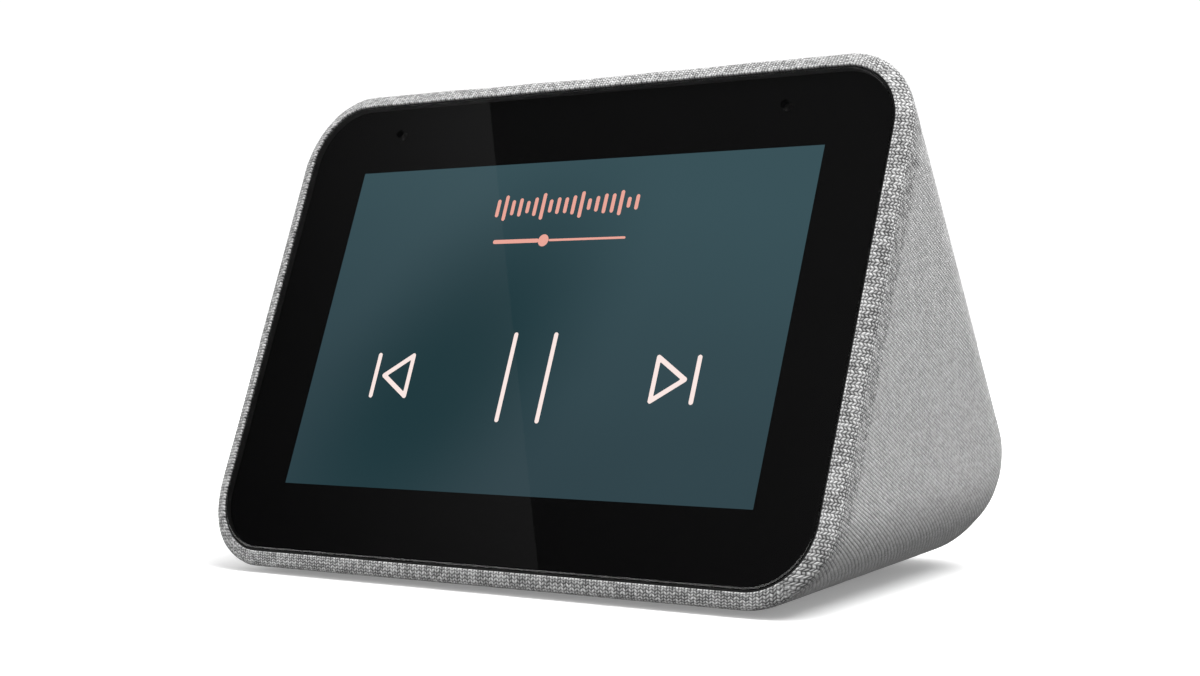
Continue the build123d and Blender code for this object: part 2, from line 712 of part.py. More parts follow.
pole_r = coil_r - coil_thick / 2 - magnet_gap
yoke = disc(driver_plane, top_plate_r, magnet_low - yoke_thick, magnet_low)
save("driver_yoke", yoke + disc(driver_plane, pole_r, magnet_low, basket_low))
neck_top = -cone_low + cone_skin
save("voice_coil", ring(driver_plane, neck_r, coil_r - coil_thick / 2, -cone_low - coil_long, -cone_low))
cone = make_face(Polyline((neck_r, -cone_low), (cone_r, flange_thick - cone_skin), (cone_r, flange_thick),
                          (neck_r, neck_top), close=True))
save("speaker_cone", spin(driver_plane, cone))
cap_rise = sqrt(cap_sphere_r ** 2 - cap_r ** 2)
cap_base = neck_top + (cap_r - neck_r) * (flange_thick - neck_top) / (cone_r - neck_r)
cap = Pos(0, 0, cap_base - cap_rise) * (Sphere(cap_sphere_r) - Sphere(cap_sphere_r - cap_skin))
cap = driver_plane.location * cap
save("dust_cap", half(cap, driver_plane.origin + slope_n * (cap_base + 0.02), -slope_n))
cone_roll = half_roll(cone_r, flange_thick, roll_land, flange_thick + part_gap)
save("cone_surround", spin(driver_plane, cone_roll))
spider_in = neck_r + part_gap
spider_mid = (basket_low - cone_low) / 2
basket_lean = (basket_mouth - basket_foot_r + basket_skin) / (flange_thick - basket_low - basket_skin)
spider_rise = spider_mid - spider_wave_high / 2 - basket_low - basket_skin
spider_out = basket_foot_r - basket_skin + basket_lean * spider_rise - part_gap
steps = 2 * spider_waves
spider_line = [
    (spider_in + (spider_out - spider_in) * step / steps,
     spider_mid + (spider_wave_high / 2 if step % 2 else -spider_wave_high / 2))
    for step in range(steps + 1)
]
upper_line = [(radius, height + spider_skin) for radius, height in reversed(spider_line)]
save("driver_spider", spin(driver_plane, make_face(Polyline(*spider_line, *upper_line, close=True))))

# ---- passive radiators, one on each side of the box ----
save("radiator_frames", *[
    ring(plane, radiator_frame_r, radiator_hole, 0, radiator_frame_thick) for plane in sides.values()
])
disk_top = radiator_frame_thick - part_gap
for name, plane in sides.items():
    disk = disc(plane, radiator_r, disk_top - radiator_thick, disk_top)
    weight = disc(plane, radiator_weight_r, disk_top - radiator_thick - radiator_weight_thick,
                  disk_top - radiator_thick)
    save(f"{name}_radiator", disk + weight)
    roll = half_roll(radiator_r, radiator_frame_thick, roll_land, radiator_frame_thick)
    save(f"{name}_radiator_surround", spin(plane, roll))

# ---- volume buttons, on the back slope near the top ----
bezel_low = -button_low - button_travel - tact_gap - tact_high
room_long = pill_long - 2 * pill_rim
room_wide = pill_wide - 2 * pill_rim
bezel = pill(pill_plane, pill_long, pill_wide, bezel_low, skin_gap)
flange_top = -inner_inset - fit_gap
bezel = bezel + pill(pill_plane, pill_long + 2 * pill_flange, pill_wide + 2 * pill_flange,
                     flange_top - pill_flange_thick, flange_top)
bezel = bezel - pill(pill_plane, room_long, room_wide, bezel_low - 1, 1)
save("volume_bezel", bezel)
button_outline = SlotOverall(room_long - 2 * button_gap, room_wide - 2 * button_gap)
button_x = room_long / 4
save("button_board", pill(pill_plane, pill_long, pill_wide, bezel_low - button_board_thick, bezel_low))
for name, side in (("up", 1), ("down", -1)):
    share = Pos(side * (room_long / 2 + button_gap / 2), 0) * Rectangle(room_long, 2 * room_wide)
    button = slab(pill_plane, button_outline & share, -button_low, button_proud)
    mark = Rectangle(mark_long, mark_wide)
    if name == "up":
        mark = mark + Rectangle(mark_wide, mark_long)
    mark = Pos(side * button_x, 0) * mark
    button = button + slab(pill_plane, mark, button_proud, button_proud + mark_high)
    save(f"volume_{name}_button", button)
tact_body_top = bezel_low + tact_high - tact_stem
save("volume_switches", *[
    block(pill_plane, tact_size, tact_size, bezel_low, tact_body_top, side * button_x)
    + disc(pill_plane, tact_size / 4, tact_body_top, bezel_low + tact_high, side * button_x)
    for side in (-1, 1)
])

# ---- sockets and mute slider, in a panel low on the back ----
panel = pill(port_plane, port_long, port_high, -port_skirt, 0)
panel = panel - pill(port_plane, port_long - 2 * port_wall, port_high - 2 * port_wall, -2 * port_skirt,
                     -port_wall)
jack_x = -port_apart
mute_x = port_apart
jack_collar_r = jack_bore + jack_collar
panel = panel - disc(port_plane, jack_collar_r + fit_gap, -port_skirt, 1, jack_x)
panel = panel - block(port_plane, usb_wide + 2 * fit_gap, usb_high + 2 * fit_gap, -port_skirt, 1)
panel = panel - block(port_plane, *mute_slot, -port_skirt, 1, mute_x)
save("port_panel", panel)
socket_front = -port_wall - fit_gap
jack = block(port_plane, jack_wide, jack_wide, socket_front - jack_long, socket_front, jack_x)
jack = jack + disc(port_plane, jack_collar_r, socket_front, -lip_sunk, jack_x)
jack_end = socket_front - jack_long + jack_end_wall
jack = jack - disc(port_plane, jack_bore, jack_end, 1, jack_x)
save("dc_jack", jack)
save("dc_jack_pin", disc(port_plane, jack_pin_r, jack_end, socket_front, jack_x))
usb_back = -usb_long - lip_sunk
board_top = -jack_wide / 2
usb = block(port_plane, usb_wide, usb_high, usb_back, -lip_sunk)
usb = usb - block(port_plane, usb_wide - 2 * usb_wall, usb_high - 2 * usb_wall, usb_back + usb_floor, 1)
board_face = -port_skirt - fit_gap
foot_high = -board_top - usb_high / 2
usb = usb + block(port_plane, usb_wide - foot_narrow, foot_high, usb_back + usb_floor, board_face, 0,
                  board_top + foot_high / 2)
save("usb_socket", usb)
save("usb_tongue", block(port_plane, *usb_tongue, usb_back + usb_floor, -usb_tongue_sunk, 0,
                         usb_tongue[1] / 2))
port_board = block(port_plane, port_board_long, port_board_thick, board_face - port_board_deep, board_face,
                   0, board_top - port_board_thick / 2)
save("port_board", port_board)
knob_x = mute_x + mute_travel / 2
knob_high = mute_slot[1] - 2 * fit_gap
slider_back = socket_front - mute_flange_thick
slider = block(port_plane, mute_knob_long, knob_high, slider_back, mute_knob_proud, knob_x)
flange_long = mute_knob_long + 2 * mute_flange[0]
flange_high = knob_high + 2 * mute_flange[1]
slider = slider + block(port_plane, flange_long, flange_high, slider_back, socket_front, knob_x)
save("mute_slider", slider)
body_long, body_high, body_deep_in = mute_body
mute_back = slider_back - fit_gap - body_deep_in
mute = block(port_plane, body_long, body_high, mute_back, slider_back - fit_gap, mute_x)
mute_foot_high = body_high / 2 - board_top
mute_foot_long = body_long - foot_narrow
mute = mute + block(port_plane, mute_foot_long, mute_foot_high, mute_back - mute_foot, mute_back, mute_x,
                    board_top + mute_foot_high / 2)
save("mute_switch", mute)
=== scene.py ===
"""Looks for a wedge-shaped smart speaker with a knitted skin and a touch screen.

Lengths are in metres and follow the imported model's own frame: +X to the right, +Y to the
back and +Z up, with the origin on the table.
"""

import json
import logging
import math
from dataclasses import dataclass
from enum import Enum

import bmesh
import bpy
import numpy as np
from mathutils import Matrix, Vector
from mathutils.bvhtree import BVHTree


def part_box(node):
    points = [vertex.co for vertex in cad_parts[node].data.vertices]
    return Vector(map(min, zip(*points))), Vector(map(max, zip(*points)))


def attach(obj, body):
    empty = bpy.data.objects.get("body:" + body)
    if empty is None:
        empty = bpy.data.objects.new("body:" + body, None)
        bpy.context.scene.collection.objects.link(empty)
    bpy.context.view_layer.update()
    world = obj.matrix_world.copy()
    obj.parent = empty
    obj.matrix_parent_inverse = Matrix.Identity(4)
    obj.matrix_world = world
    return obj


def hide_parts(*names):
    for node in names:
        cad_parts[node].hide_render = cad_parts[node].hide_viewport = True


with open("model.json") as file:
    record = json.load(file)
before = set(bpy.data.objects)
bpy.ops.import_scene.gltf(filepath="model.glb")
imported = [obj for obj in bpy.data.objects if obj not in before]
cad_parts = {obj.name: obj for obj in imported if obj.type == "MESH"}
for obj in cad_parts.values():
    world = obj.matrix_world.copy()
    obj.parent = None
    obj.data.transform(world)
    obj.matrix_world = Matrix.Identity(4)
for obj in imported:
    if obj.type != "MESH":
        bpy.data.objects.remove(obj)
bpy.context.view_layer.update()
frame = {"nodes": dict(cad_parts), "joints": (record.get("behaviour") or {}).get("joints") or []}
LOG = logging.getLogger("speaker")
MM = 0.001
TINY = 1e-12
RIGHT, BACK, UP = Vector((1.0, 0.0, 0.0)), Vector((0.0, 1.0, 0.0)), Vector((0.0, 0.0, 1.0))

Colour = tuple[float, float, float]
Plot = tuple[float, float]
Mesh = tuple[list, list]
BLACK: Colour = (0.0, 0.0, 0.0)
WHITE: Colour = (1.0, 1.0, 1.0)


def tint(red: float, green: float, blue: float) -> Colour:
    """Linear colour of an 8-bit display colour.

    Args:
        red: Red, 0 to 255.
        green: Green, 0 to 255.
        blue: Blue, 0 to 255.

    Returns:
        The three linear values.
    """
    shares = (channel / 255 for channel in (red, green, blue))
    return tuple(s / 12.92 if s <= 0.04045 else ((s + 0.055) / 1.055) ** 2.4 for s in shares)


def grey(level: float) -> Colour:
    """Linear grey of an 8-bit display level."""
    return tint(level, level, level)


# ---------------------------------------------------------------- shader maths


class Socket:
    """One output of a node, which can be used in Python sums."""

    def __init__(self, graph: "Graph", out: bpy.types.NodeSocket) -> None:
        """Keep the graph and the output that is wrapped."""
        self.graph = graph
        self.out = out

    def _sum(self, operation: str, *values: object) -> "Socket":
        """Add one Math node for values in order."""
        return self.graph.math(operation, *values)

    def __add__(self, other: object) -> "Socket":
        """Sum."""
        return self._sum("ADD", self, other)

    __radd__ = __add__

    def __sub__(self, other: object) -> "Socket":
        """Difference."""
        return self._sum("SUBTRACT", self, other)

    def __rsub__(self, other: object) -> "Socket":
        """Difference with the operands the other way round."""
        return self._sum("SUBTRACT", other, self)

    def __mul__(self, other: object) -> "Socket":
        """Product."""
        return self._sum("MULTIPLY", self, other)

    __rmul__ = __mul__

    def __truediv__(self, other: object) -> "Socket":
        """Quotient."""
        return self._sum("DIVIDE", self, other)

    def __pow__(self, other: object) -> "Socket":
        """Power."""
        return self._sum("POWER", self, other)

    def __abs__(self) -> "Socket":
        """Size without its sign."""
        return self._sum("ABSOLUTE", self)

    def floor(self) -> "Socket":
        """Whole number below."""
        return self._sum("FLOOR", self)

    def root(self) -> "Socket":
        """Square root."""
        return self._sum("SQRT", self)

    def clamped(self) -> "Socket":
        """The value held between 0 and 1."""
        return self._sum("MINIMUM", self._sum("MAXIMUM", self, 0.0), 1.0)


class Graph:
    """The node tree of one material, or of the world."""

    def __init__(self, name: str, library: bpy.types.bpy_prop_collection | None = None) -> None:
        """Start an empty tree.

        Args:
            name: Name of the material or world that it belongs to.
            library: Where that is made; the materials if not given.
        """
        self.owner = (bpy.data.materials if library is None else library).new(name)
        self.owner.use_nodes = True
        self.tree = self.owner.node_tree
        self.tree.nodes.clear()

    def node(self, kind: str, settings: dict | None = None, inputs: dict | None = None) -> bpy.types.Node:
        """Add one node.

        Args:
            kind: The node's type.
            settings: Its own properties, set first; "stops" fills a ramp.
            inputs: Values or links for its sockets, by name or number.

        Returns:
            The node.
        """
        node = self.tree.nodes.new(kind)
        for key, value in (settings or {}).items():
            if key == "stops":
                elements = node.color_ramp.elements
                while len(elements) < len(value):
                    elements.new(1.0)
                for element, (place, colour) in zip(elements, value):
                    element.position, element.color = place, (*colour, 1.0)
            else:
                setattr(node, key, value)
        for key, value in (inputs or {}).items():
            target = node.inputs[key]
            if isinstance(value, Socket):
                self.tree.links.new(value.out, target)
            elif isinstance(value, bpy.types.NodeSocket):
                self.tree.links.new(value, target)
            elif isinstance(value, tuple) and len(value) == 3 and len(target.default_value) == 4:
                target.default_value = (*value, 1.0)
            else:
                target.default_value = value
        return node

    def out(self, node: bpy.types.Node, socket: str | int = 0) -> Socket:
        """One output of a node as a Socket."""
        return Socket(self, node.outputs[socket])

    def math(self, operation: str, *values: object) -> Socket:
        """Add a Math node for values in order."""
        return self.out(self.node("ShaderNodeMath", {"operation": operation}, dict(enumerate(values))))

    def mix(self, share: object, first: object, second: object) -> Socket:
        """Colour between two others.

        Args:
            share: 0 gives the first and 1 the second.
            first: A colour or a Socket.
            second: A colour or a Socket.

        Returns:
            The mixed colour.
        """
        settings = {"data_type": "RGBA"}
        mixed = self.node("ShaderNodeMix", settings, {0: share, 6: first, 7: second})
        return self.out(mixed, 2)

    def smooth(self, value: object, low: float, high: float) -> Socket:
        """Value turned to 0 at low and 1 at high, with an easy start and end."""
        settings = {"interpolation_type": "SMOOTHSTEP"}
        inputs = {"Value": value, "From Min": low, "From Max": high}
        return self.out(self.node("ShaderNodeMapRange", settings, inputs))

    def place(self) -> Socket:
        """Position in the piece's own space, in metres."""
        return self.out(self.node("ShaderNodeTexCoord"), "Object")

    def split(self, vector: Socket) -> list[Socket]:
        """The three parts of a vector."""
        node = self.node("ShaderNodeSeparateXYZ", inputs={0: vector})
        return [self.out(node, axis) for axis in range(3)]

    def join(self, *parts: object) -> Socket:
        """A vector from three numbers or Sockets."""
        return self.out(self.node("ShaderNodeCombineXYZ", inputs=dict(enumerate(parts))))

    def stretched(self, vector: Socket, scale: Colour) -> Socket:
        """A vector multiplied part by part."""
        settings = {"operation": "MULTIPLY"}
        return self.out(self.node("ShaderNodeVectorMath", settings, {0: vector, 1: scale}))

    def noise(self, vector: Socket, scale: float, detail: float = 2.0) -> Socket:
        """Soft random value, about 0.5 on average, with this many lumps in a metre."""
        inputs = {"Vector": vector, "Scale": scale, "Detail": detail}
        return self.out(self.node("ShaderNodeTexNoise", inputs=inputs), 0)

    def random(self, vector: Socket) -> Socket:
        """A value from 0 to 1 for each different vector."""
        return self.out(self.node("ShaderNodeTexWhiteNoise", inputs={"Vector": vector}), 0)

    def bump(self, height: Socket, depth: float, strength: float = 1.0) -> Socket:
        """Normal of a surface raised by height times depth."""
        inputs = {"Height": height, "Distance": depth, "Strength": strength}
        return self.out(self.node("ShaderNodeBump", inputs=inputs))

    def shader(self, inputs: dict) -> Socket:
        """A Principled shader with these sockets."""
        return self.out(self.node("ShaderNodeBsdfPrincipled", inputs=inputs))

    def finish(self, shader: Socket, output: str = "ShaderNodeOutputMaterial") -> bpy.types.ID:
        """Join a shader to the output and give the material or world."""
        self.node(output, inputs={"Surface": shader})
        return self.owner


# ---------------------------------------------------------------- finishes


class Pattern(Enum):
    """How the surface of a finish is broken up."""

    MOULDED = "fine spark-eroded grain"
    BRUSHED = "long scratches in one direction"
    FIBRE = "pressed fibres"
    WOVEN = "crossed threads"
    BOARD = "lacquered tracks and pads"
    WOUND = "close turns of wire"
    FOAM = "small open cells"


@dataclass(frozen=True)
class Finish:
    """A made surface: two tones, a pattern that mixes them, gloss and relief.

    Attributes:
        pattern: How the two tones are laid out.
        colour: The main tone.
        second: The tone that the pattern brings in.
        rough: Middle roughness.
        size: Width of the pattern's details.
        depth: Height of the relief.
        metal: Whether it is bare metal.
        span: How far roughness moves with the pattern.
        shine: Specular level; 0.5 is ordinary plastic.
    """

    pattern: Pattern
    colour: Colour
    second: Colour
    rough: float = 0.5
    size: float = 0.3 * MM
    depth: float = 0.01 * MM
    metal: float = 0.0
    span: float = 0.15
    shine: float = 0.5

    def tone(self, graph: Graph) -> Socket:
        """The pattern as a value from 0 to 1.

        Args:
            graph: Where its nodes go.

        Returns:
            The value.
        """
        place = graph.place()
        fine = 1 / self.size
        if self.pattern is Pattern.MOULDED:
            return graph.noise(place, fine, 4.0)
        if self.pattern is Pattern.BRUSHED:
            return graph.noise(graph.stretched(place, (0.04, 1.0, 1.0)), fine, 3.0)
        if self.pattern is Pattern.FIBRE:
            long_way = graph.noise(graph.stretched(place, (1.0, 0.25, 1.0)), fine, 4.0)
            return long_way * 0.6 + graph.noise(graph.stretched(place, (0.25, 1.0, 1.0)), fine, 4.0) * 0.4
        if self.pattern is Pattern.FOAM:
            cells = graph.node("ShaderNodeTexVoronoi", inputs={"Vector": place, "Scale": fine})
            return graph.out(cells, "Distance")
        x, y, z = graph.split(place)
        if self.pattern is Pattern.WOUND:
            turns = graph.math("SINE", (y + z) * (2 * math.pi * fine))
            return turns * 0.4 + 0.5
        if self.pattern is Pattern.WOVEN:
            warp = graph.math("SINE", x * (2 * math.pi * fine))
            weft = graph.math("SINE", (y + z) * (2 * math.pi * fine))
            return warp * weft * 0.5 + 0.5
        cell = graph.join((x * fine).floor(), ((y + z) * fine).floor(), 0.0)
        return graph.smooth(graph.random(cell) + graph.noise(place, fine, 1.0) * 0.4, 0.85, 0.9)

    def material(self, name: str) -> bpy.types.Material:
        """Build the finish as a material.

        Args:
            name: The material's name.

        Returns:
            The material.
        """
        graph = Graph(name)
        tone = self.tone(graph)
        patch = graph.noise(graph.place(), 60.0, 2.0)
        share = (tone * 0.7 + patch * 0.3).clamped()
        return graph.finish(graph.shader({
            "Base Color": graph.mix(share, self.colour, self.second),
            "Roughness": ((tone - 0.5) * self.span + (patch - 0.5) * (self.span / 2) + self.rough).clamped(),
            "Metallic": self.metal,
            "Specular IOR Level": self.shine,
            "Normal": graph.bump(tone, self.depth),
        }))


FINISHES: dict[str, Finish] = {
    "housing_plastic": Finish(Pattern.MOULDED, grey(46), grey(58), 0.55),
    "base_plastic": Finish(Pattern.MOULDED, grey(150), grey(166), 0.55, 0.35 * MM, 0.02 * MM),
    "frame_plastic": Finish(Pattern.MOULDED, grey(38), grey(48), 0.5),
    "silicone": Finish(Pattern.MOULDED, grey(118), grey(132), 0.75, 0.5 * MM, 0.02 * MM),
    "screw_steel": Finish(Pattern.BRUSHED, grey(150), grey(185), 0.35, 0.2 * MM, 0.004 * MM, 1.0),
    "black_ink": Finish(Pattern.MOULDED, (0.0012, 0.0012, 0.0013), (0.0022, 0.0022, 0.0023), 0.6, shine=0.0),
    "black_foam": Finish(Pattern.FOAM, grey(22), grey(40), 0.9, 0.35 * MM, 0.08 * MM),
    "black_rubber": Finish(Pattern.MOULDED, grey(8), grey(14), 0.65, 0.3 * MM, 0.01 * MM),
    "sheet_steel": Finish(Pattern.BRUSHED, grey(165), grey(190), 0.4, 0.3 * MM, 0.004 * MM, 1.0),
    "flex_film": Finish(Pattern.BRUSHED, tint(176, 104, 32), tint(198, 128, 52), 0.35, 0.5 * MM),
    "circuit_board": Finish(Pattern.BOARD, tint(14, 62, 40), tint(46, 110, 70), 0.4, 0.9 * MM, 0.03 * MM),
    "tin_plate": Finish(Pattern.BRUSHED, grey(176), grey(200), 0.3, 0.4 * MM, 0.003 * MM, 1.0),
    "thermal_silicone": Finish(Pattern.MOULDED, tint(150, 160, 175), tint(170, 178, 190), 0.8),
    "spreader_aluminium": Finish(Pattern.BRUSHED, grey(190), grey(212), 0.38, 0.25 * MM, 0.005 * MM, 1.0),
    "connector_plastic": Finish(Pattern.MOULDED, tint(226, 220, 200), tint(238, 234, 220), 0.45),
    "lead_rubber": Finish(Pattern.MOULDED, tint(150, 24, 20), tint(172, 38, 30), 0.5),
    "box_plastic": Finish(Pattern.MOULDED, grey(30), grey(40), 0.6),
    "magnet_ceramic": Finish(Pattern.MOULDED, grey(52), grey(70), 0.7, 0.2 * MM, 0.02 * MM),
    "coil_copper": Finish(
        Pattern.WOUND, tint(184, 110, 62), tint(214, 142, 92), 0.3, 0.25 * MM, 0.05 * MM, 1.0
    ),
    "cone_paper": Finish(Pattern.FIBRE, grey(34), grey(58), 0.85, 0.4 * MM, 0.03 * MM),
    "spider_cloth": Finish(Pattern.WOVEN, tint(170, 130, 70), tint(206, 170, 108), 0.9, 0.6 * MM, 0.05 * MM),
    "radiator_plate": Finish(Pattern.BRUSHED, grey(120), grey(150), 0.4, 0.3 * MM, 0.004 * MM, 1.0),
    "button_plastic": Finish(Pattern.MOULDED, grey(150), grey(164), 0.55, 0.3 * MM, 0.015 * MM),
    "port_plastic": Finish(Pattern.MOULDED, grey(140), grey(154), 0.58, 0.35 * MM, 0.02 * MM),
    "contact_brass": Finish(
        Pattern.BRUSHED, tint(196, 160, 84), tint(222, 190, 120), 0.25, 0.2 * MM, 0.002 * MM, 1.0
    ),
    "socket_steel": Finish(Pattern.BRUSHED, grey(160), grey(186), 0.32, 0.25 * MM, 0.004 * MM, 1.0),
    "slider_plastic": Finish(Pattern.MOULDED, grey(118), grey(130), 0.5, 0.3 * MM, 0.015 * MM),
}


@dataclass(frozen=True)
class KnitFinish:
    """Heathered grey knit, drawn stitch by stitch, with painted shade in the hollows between stitches.

    Attributes:
        wale: Width of one stitch.
        course: Height of one stitch.
        dark: Tone of the darkest yarn.
        light: Tone of the lightest yarn.
        relief: Height of a stitch.
        lean: How far a stitch's legs rise from its middle, in rows for each column.
        wander: How far rows and columns stray, in stitches.
        band_end: The contrasting band by the ridge ends this far back from the rim, in millimetres.
        band_fade: Width over which it ends.
    """

    wale: float = 0.96 * MM
    course: float = 0.56 * MM
    dark: Colour = grey(70)
    light: Colour = grey(214)
    relief: float = 0.16 * MM
    lean: float = 1.3
    wander: float = 0.3
    band_end: float = 7.6
    band_fade: float = 1.6

    def stitches(self, graph: Graph, across: Socket, along: Socket) -> tuple[Socket, Socket]:
        """V-shaped stitches on two coordinates.

        Args:
            graph: Where the nodes go.
            across: Stitch columns, one per unit.
            along: Stitch rows, one per unit.

        Returns:
            The height from 0 to 1, and the yarn's random tone.
        """
        column = across.floor()
        beside = across - column - 0.5
        leg = abs(beside)
        slanted = along + leg * self.lean
        row = slanted.floor()
        up_leg = slanted - row - 0.5
        crown = 1 - up_leg * up_leg * 4
        spread = (leg - 0.25) * 4
        height = (crown * (1 - spread * spread * 0.75)).clamped()
        side = graph.math("GREATER_THAN", beside, 0.0)
        yarn = graph.random(graph.join(column + side * 0.37, row, 3.0))
        return height, yarn

    def material(self, name: str) -> bpy.types.Material:
        """Build the knit; it reads the "knit" map for the distance from the rim.

        Args:
            name: The material's name.

        Returns:
            The material.
        """
        graph = Graph(name)
        place = graph.place()
        x, y, z = graph.split(place)
        run = graph.out(graph.node("ShaderNodeUVMap", {"uv_map": "knit"}))
        back, facing, _ = graph.split(run)
        rise = y * math.sin(FACE.tilt) + z * math.cos(FACE.tilt)
        wander = (graph.noise(place, 120.0, 2.0) - 0.5) * self.wander
        rows = back * (MM / self.course) + wander
        side_height, side_yarn = self.stitches(graph, rise / self.wale + wander, rows)
        top_height, top_yarn = self.stitches(graph, x / self.wale + wander, rows)
        height = side_height + (top_height - side_height) * facing
        yarn = side_yarn + (top_yarn - side_yarn) * facing
        near = 1 - graph.smooth(back, self.band_end - self.band_fade, self.band_end)
        hair = graph.noise(place, 5200.0, 2.0)
        patch = graph.noise(place, 420.0, 3.0)
        heather = (yarn - 0.5) * (0.34 + near * 0.3) + (hair - 0.5) * 0.4 + (patch - 0.5) * 0.12
        # The stitch height also sets the colour: the hollows between stitches get painted shade, on top of
        # the yarn's own heather.
        shade = (heather + height * (0.75 + near * 0.25) + (0.27 - near * 0.36)).clamped()
        return graph.finish(graph.shader({
            "Base Color": graph.mix(shade, self.dark, self.light),
            "Roughness": ((1 - height) * 0.12 + 0.84).clamped(),
            "Specular IOR Level": 0.25,
            "Sheen Weight": 0.35,
            "Sheen Roughness": 0.45,
            "Sheen Tint": (0.9, 0.9, 0.9),
            "Normal": graph.bump(height + hair * 0.35, self.relief, 0.8),
        }))


@dataclass(frozen=True)
class PictureFinish:
    """The lit picture: slate teal with a darker pool drifting across its left half.

    Attributes:
        light: Tone toward the upper right.
        low: Tone toward the lower right.
        pool: Tone in the middle of the dark pool.
        pool_x: Place of the pool's middle, to the right of the picture's.
        pool_rise: And up the glass from it.
        pool_lean: Turn of its long way from level, in degrees.
        pool_long: Half of its length.
        pool_wide: Half of its width.
        strength: Gain that makes up for what the glass keeps back.
    """

    light: Colour = tint(55, 80, 87)
    low: Colour = tint(47, 67, 74)
    pool: Colour = tint(27, 54, 60)
    pool_x: float = -17 * MM
    pool_rise: float = -10 * MM
    pool_lean: float = 52.0
    pool_long: float = 44 * MM
    pool_wide: float = 23 * MM
    strength: float = 1.05

    def material(self, name: str) -> bpy.types.Material:
        """Build the picture from the place on the panel.

        Args:
            name: The material's name.

        Returns:
            The material.
        """
        graph = Graph(name)
        x, y, z = graph.split(graph.place())
        rise = (y - FACE.origin.y) * math.sin(FACE.tilt) + (z - FACE.origin.z) * math.cos(FACE.tilt)
        lean = math.radians(self.pool_lean)
        right, higher = x - self.pool_x, rise - self.pool_rise
        along = (right * math.cos(lean) + higher * math.sin(lean)) / self.pool_long
        aside = (higher * math.cos(lean) - right * math.sin(lean)) / self.pool_wide
        reach = (along * along + aside * aside).root()
        pool = 1 - graph.smooth(reach, 0.1, 1.15)
        drift = (graph.noise(graph.stretched(graph.place(), (0.35, 1.0, 1.0)), 60.0, 2.0) - 0.5) * 0.35
        level = graph.smooth(rise + x * 0.15, -26 * MM, 30 * MM)
        glow = graph.mix((level + drift).clamped(), self.low, self.light)
        glow = graph.mix(pool, glow, self.pool)
        return graph.finish(graph.shader({
            "Base Color": BLACK,
            "Specular IOR Level": 0.0,
            "Roughness": 1.0,
            "Emission Color": glow,
            "Emission Strength": self.strength,
        }))


@dataclass(frozen=True)
class GlowFinish:
    """A lit mark on the screen.

    Attributes:
        colour: The mark's colour.
        strength: Gain that makes up for what the glass keeps back.
    """

    colour: Colour
    strength: float = 1.05

    def material(self, name: str) -> bpy.types.Material:
        """Build the mark, with the faint unevenness of lit picture dots.

        Args:
            name: The material's name.

        Returns:
            The material.
        """
        graph = Graph(name)
        dots = graph.noise(graph.place(), 4000.0, 1.0)
        dimmer = tuple(channel * 0.93 for channel in self.colour)
        return graph.finish(graph.shader({
            "Base Color": BLACK,
            "Specular IOR Level": 0.0,
            "Roughness": 1.0,
            "Emission Color": graph.mix(dots, self.colour, dimmer),
            "Emission Strength": self.strength,
        }))


@dataclass(frozen=True)
class GlassFinish:
    """Clear cover glass that mirrors by its Fresnel share and lets the rest through.

    Attributes:
        index: Refractive index.
        rough: Roughness of the mirrored image where the glass is clean.
        smear: How much finger marks add to it.
    """

    index: float = 1.5
    rough: float = 0.004
    smear: float = 0.012

    def material(self, name: str) -> bpy.types.Material:
        """Build the glass; the far side of the pane mirrors nothing.

        Args:
            name: The material's name.

        Returns:
            The material.
        """
        graph = Graph(name)
        marks = graph.noise(graph.place(), 45.0, 3.0)
        fresnel = graph.out(graph.node("ShaderNodeFresnel", inputs={"IOR": self.index}))
        behind = graph.out(graph.node("ShaderNodeNewGeometry"), "Backfacing")
        clear = graph.out(graph.node("ShaderNodeBsdfTransparent"))
        mirror = graph.shader({
            "Base Color": WHITE,
            "Metallic": 1.0,
            "Roughness": (marks * self.smear + self.rough).clamped(),
        })
        inputs = {0: fresnel * (1 - behind), 1: clear, 2: mirror}
        return graph.finish(graph.out(graph.node("ShaderNodeMixShader", inputs=inputs)))


# ---------------------------------------------------------------- places on the body


@dataclass(frozen=True)
class Face:
    """The tilted plane of the front of the glass.

    Attributes:
        origin: Its middle.
        tilt: Its lean from upright, in radians.
    """

    origin: Vector
    tilt: float

    @property
    def up(self) -> Vector:
        """Direction up the glass."""
        return Vector((0.0, math.sin(self.tilt), math.cos(self.tilt)))

    @property
    def out(self) -> Vector:
        """Direction out of the glass, toward the user."""
        return Vector((0.0, -math.cos(self.tilt), math.sin(self.tilt)))

    def at(self, across: float, along: float, out: float = 0.0) -> Vector:
        """A point from its place on the glass.

        Args:
            across: To the right of the middle.
            along: Up the glass from the middle.
            out: Ahead of the front surface.

        Returns:
            The point.
        """
        return self.origin + RIGHT * across + self.up * along + self.out * out


def find_face(tilt: float, depth: float, right: float, drop: float) -> Face:
    """The glass's front plane, from the box of the display panel behind it.

    Args:
        tilt: Its lean from upright, in radians.
        depth: How far the panel's middle lies behind the plane.
        right: How far the panel's middle lies to the right of the glass's.
        drop: And how far below it.

    Returns:
        The plane.
    """
    low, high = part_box("display_panel")
    flat = Face(Vector((0.0, 0.0, 0.0)), tilt)
    return Face((low + high) / 2 + flat.at(-right, drop, depth), tilt)


FACE = find_face(math.radians(20), 1.8 * MM, 0.26 * MM, 0.12 * MM)


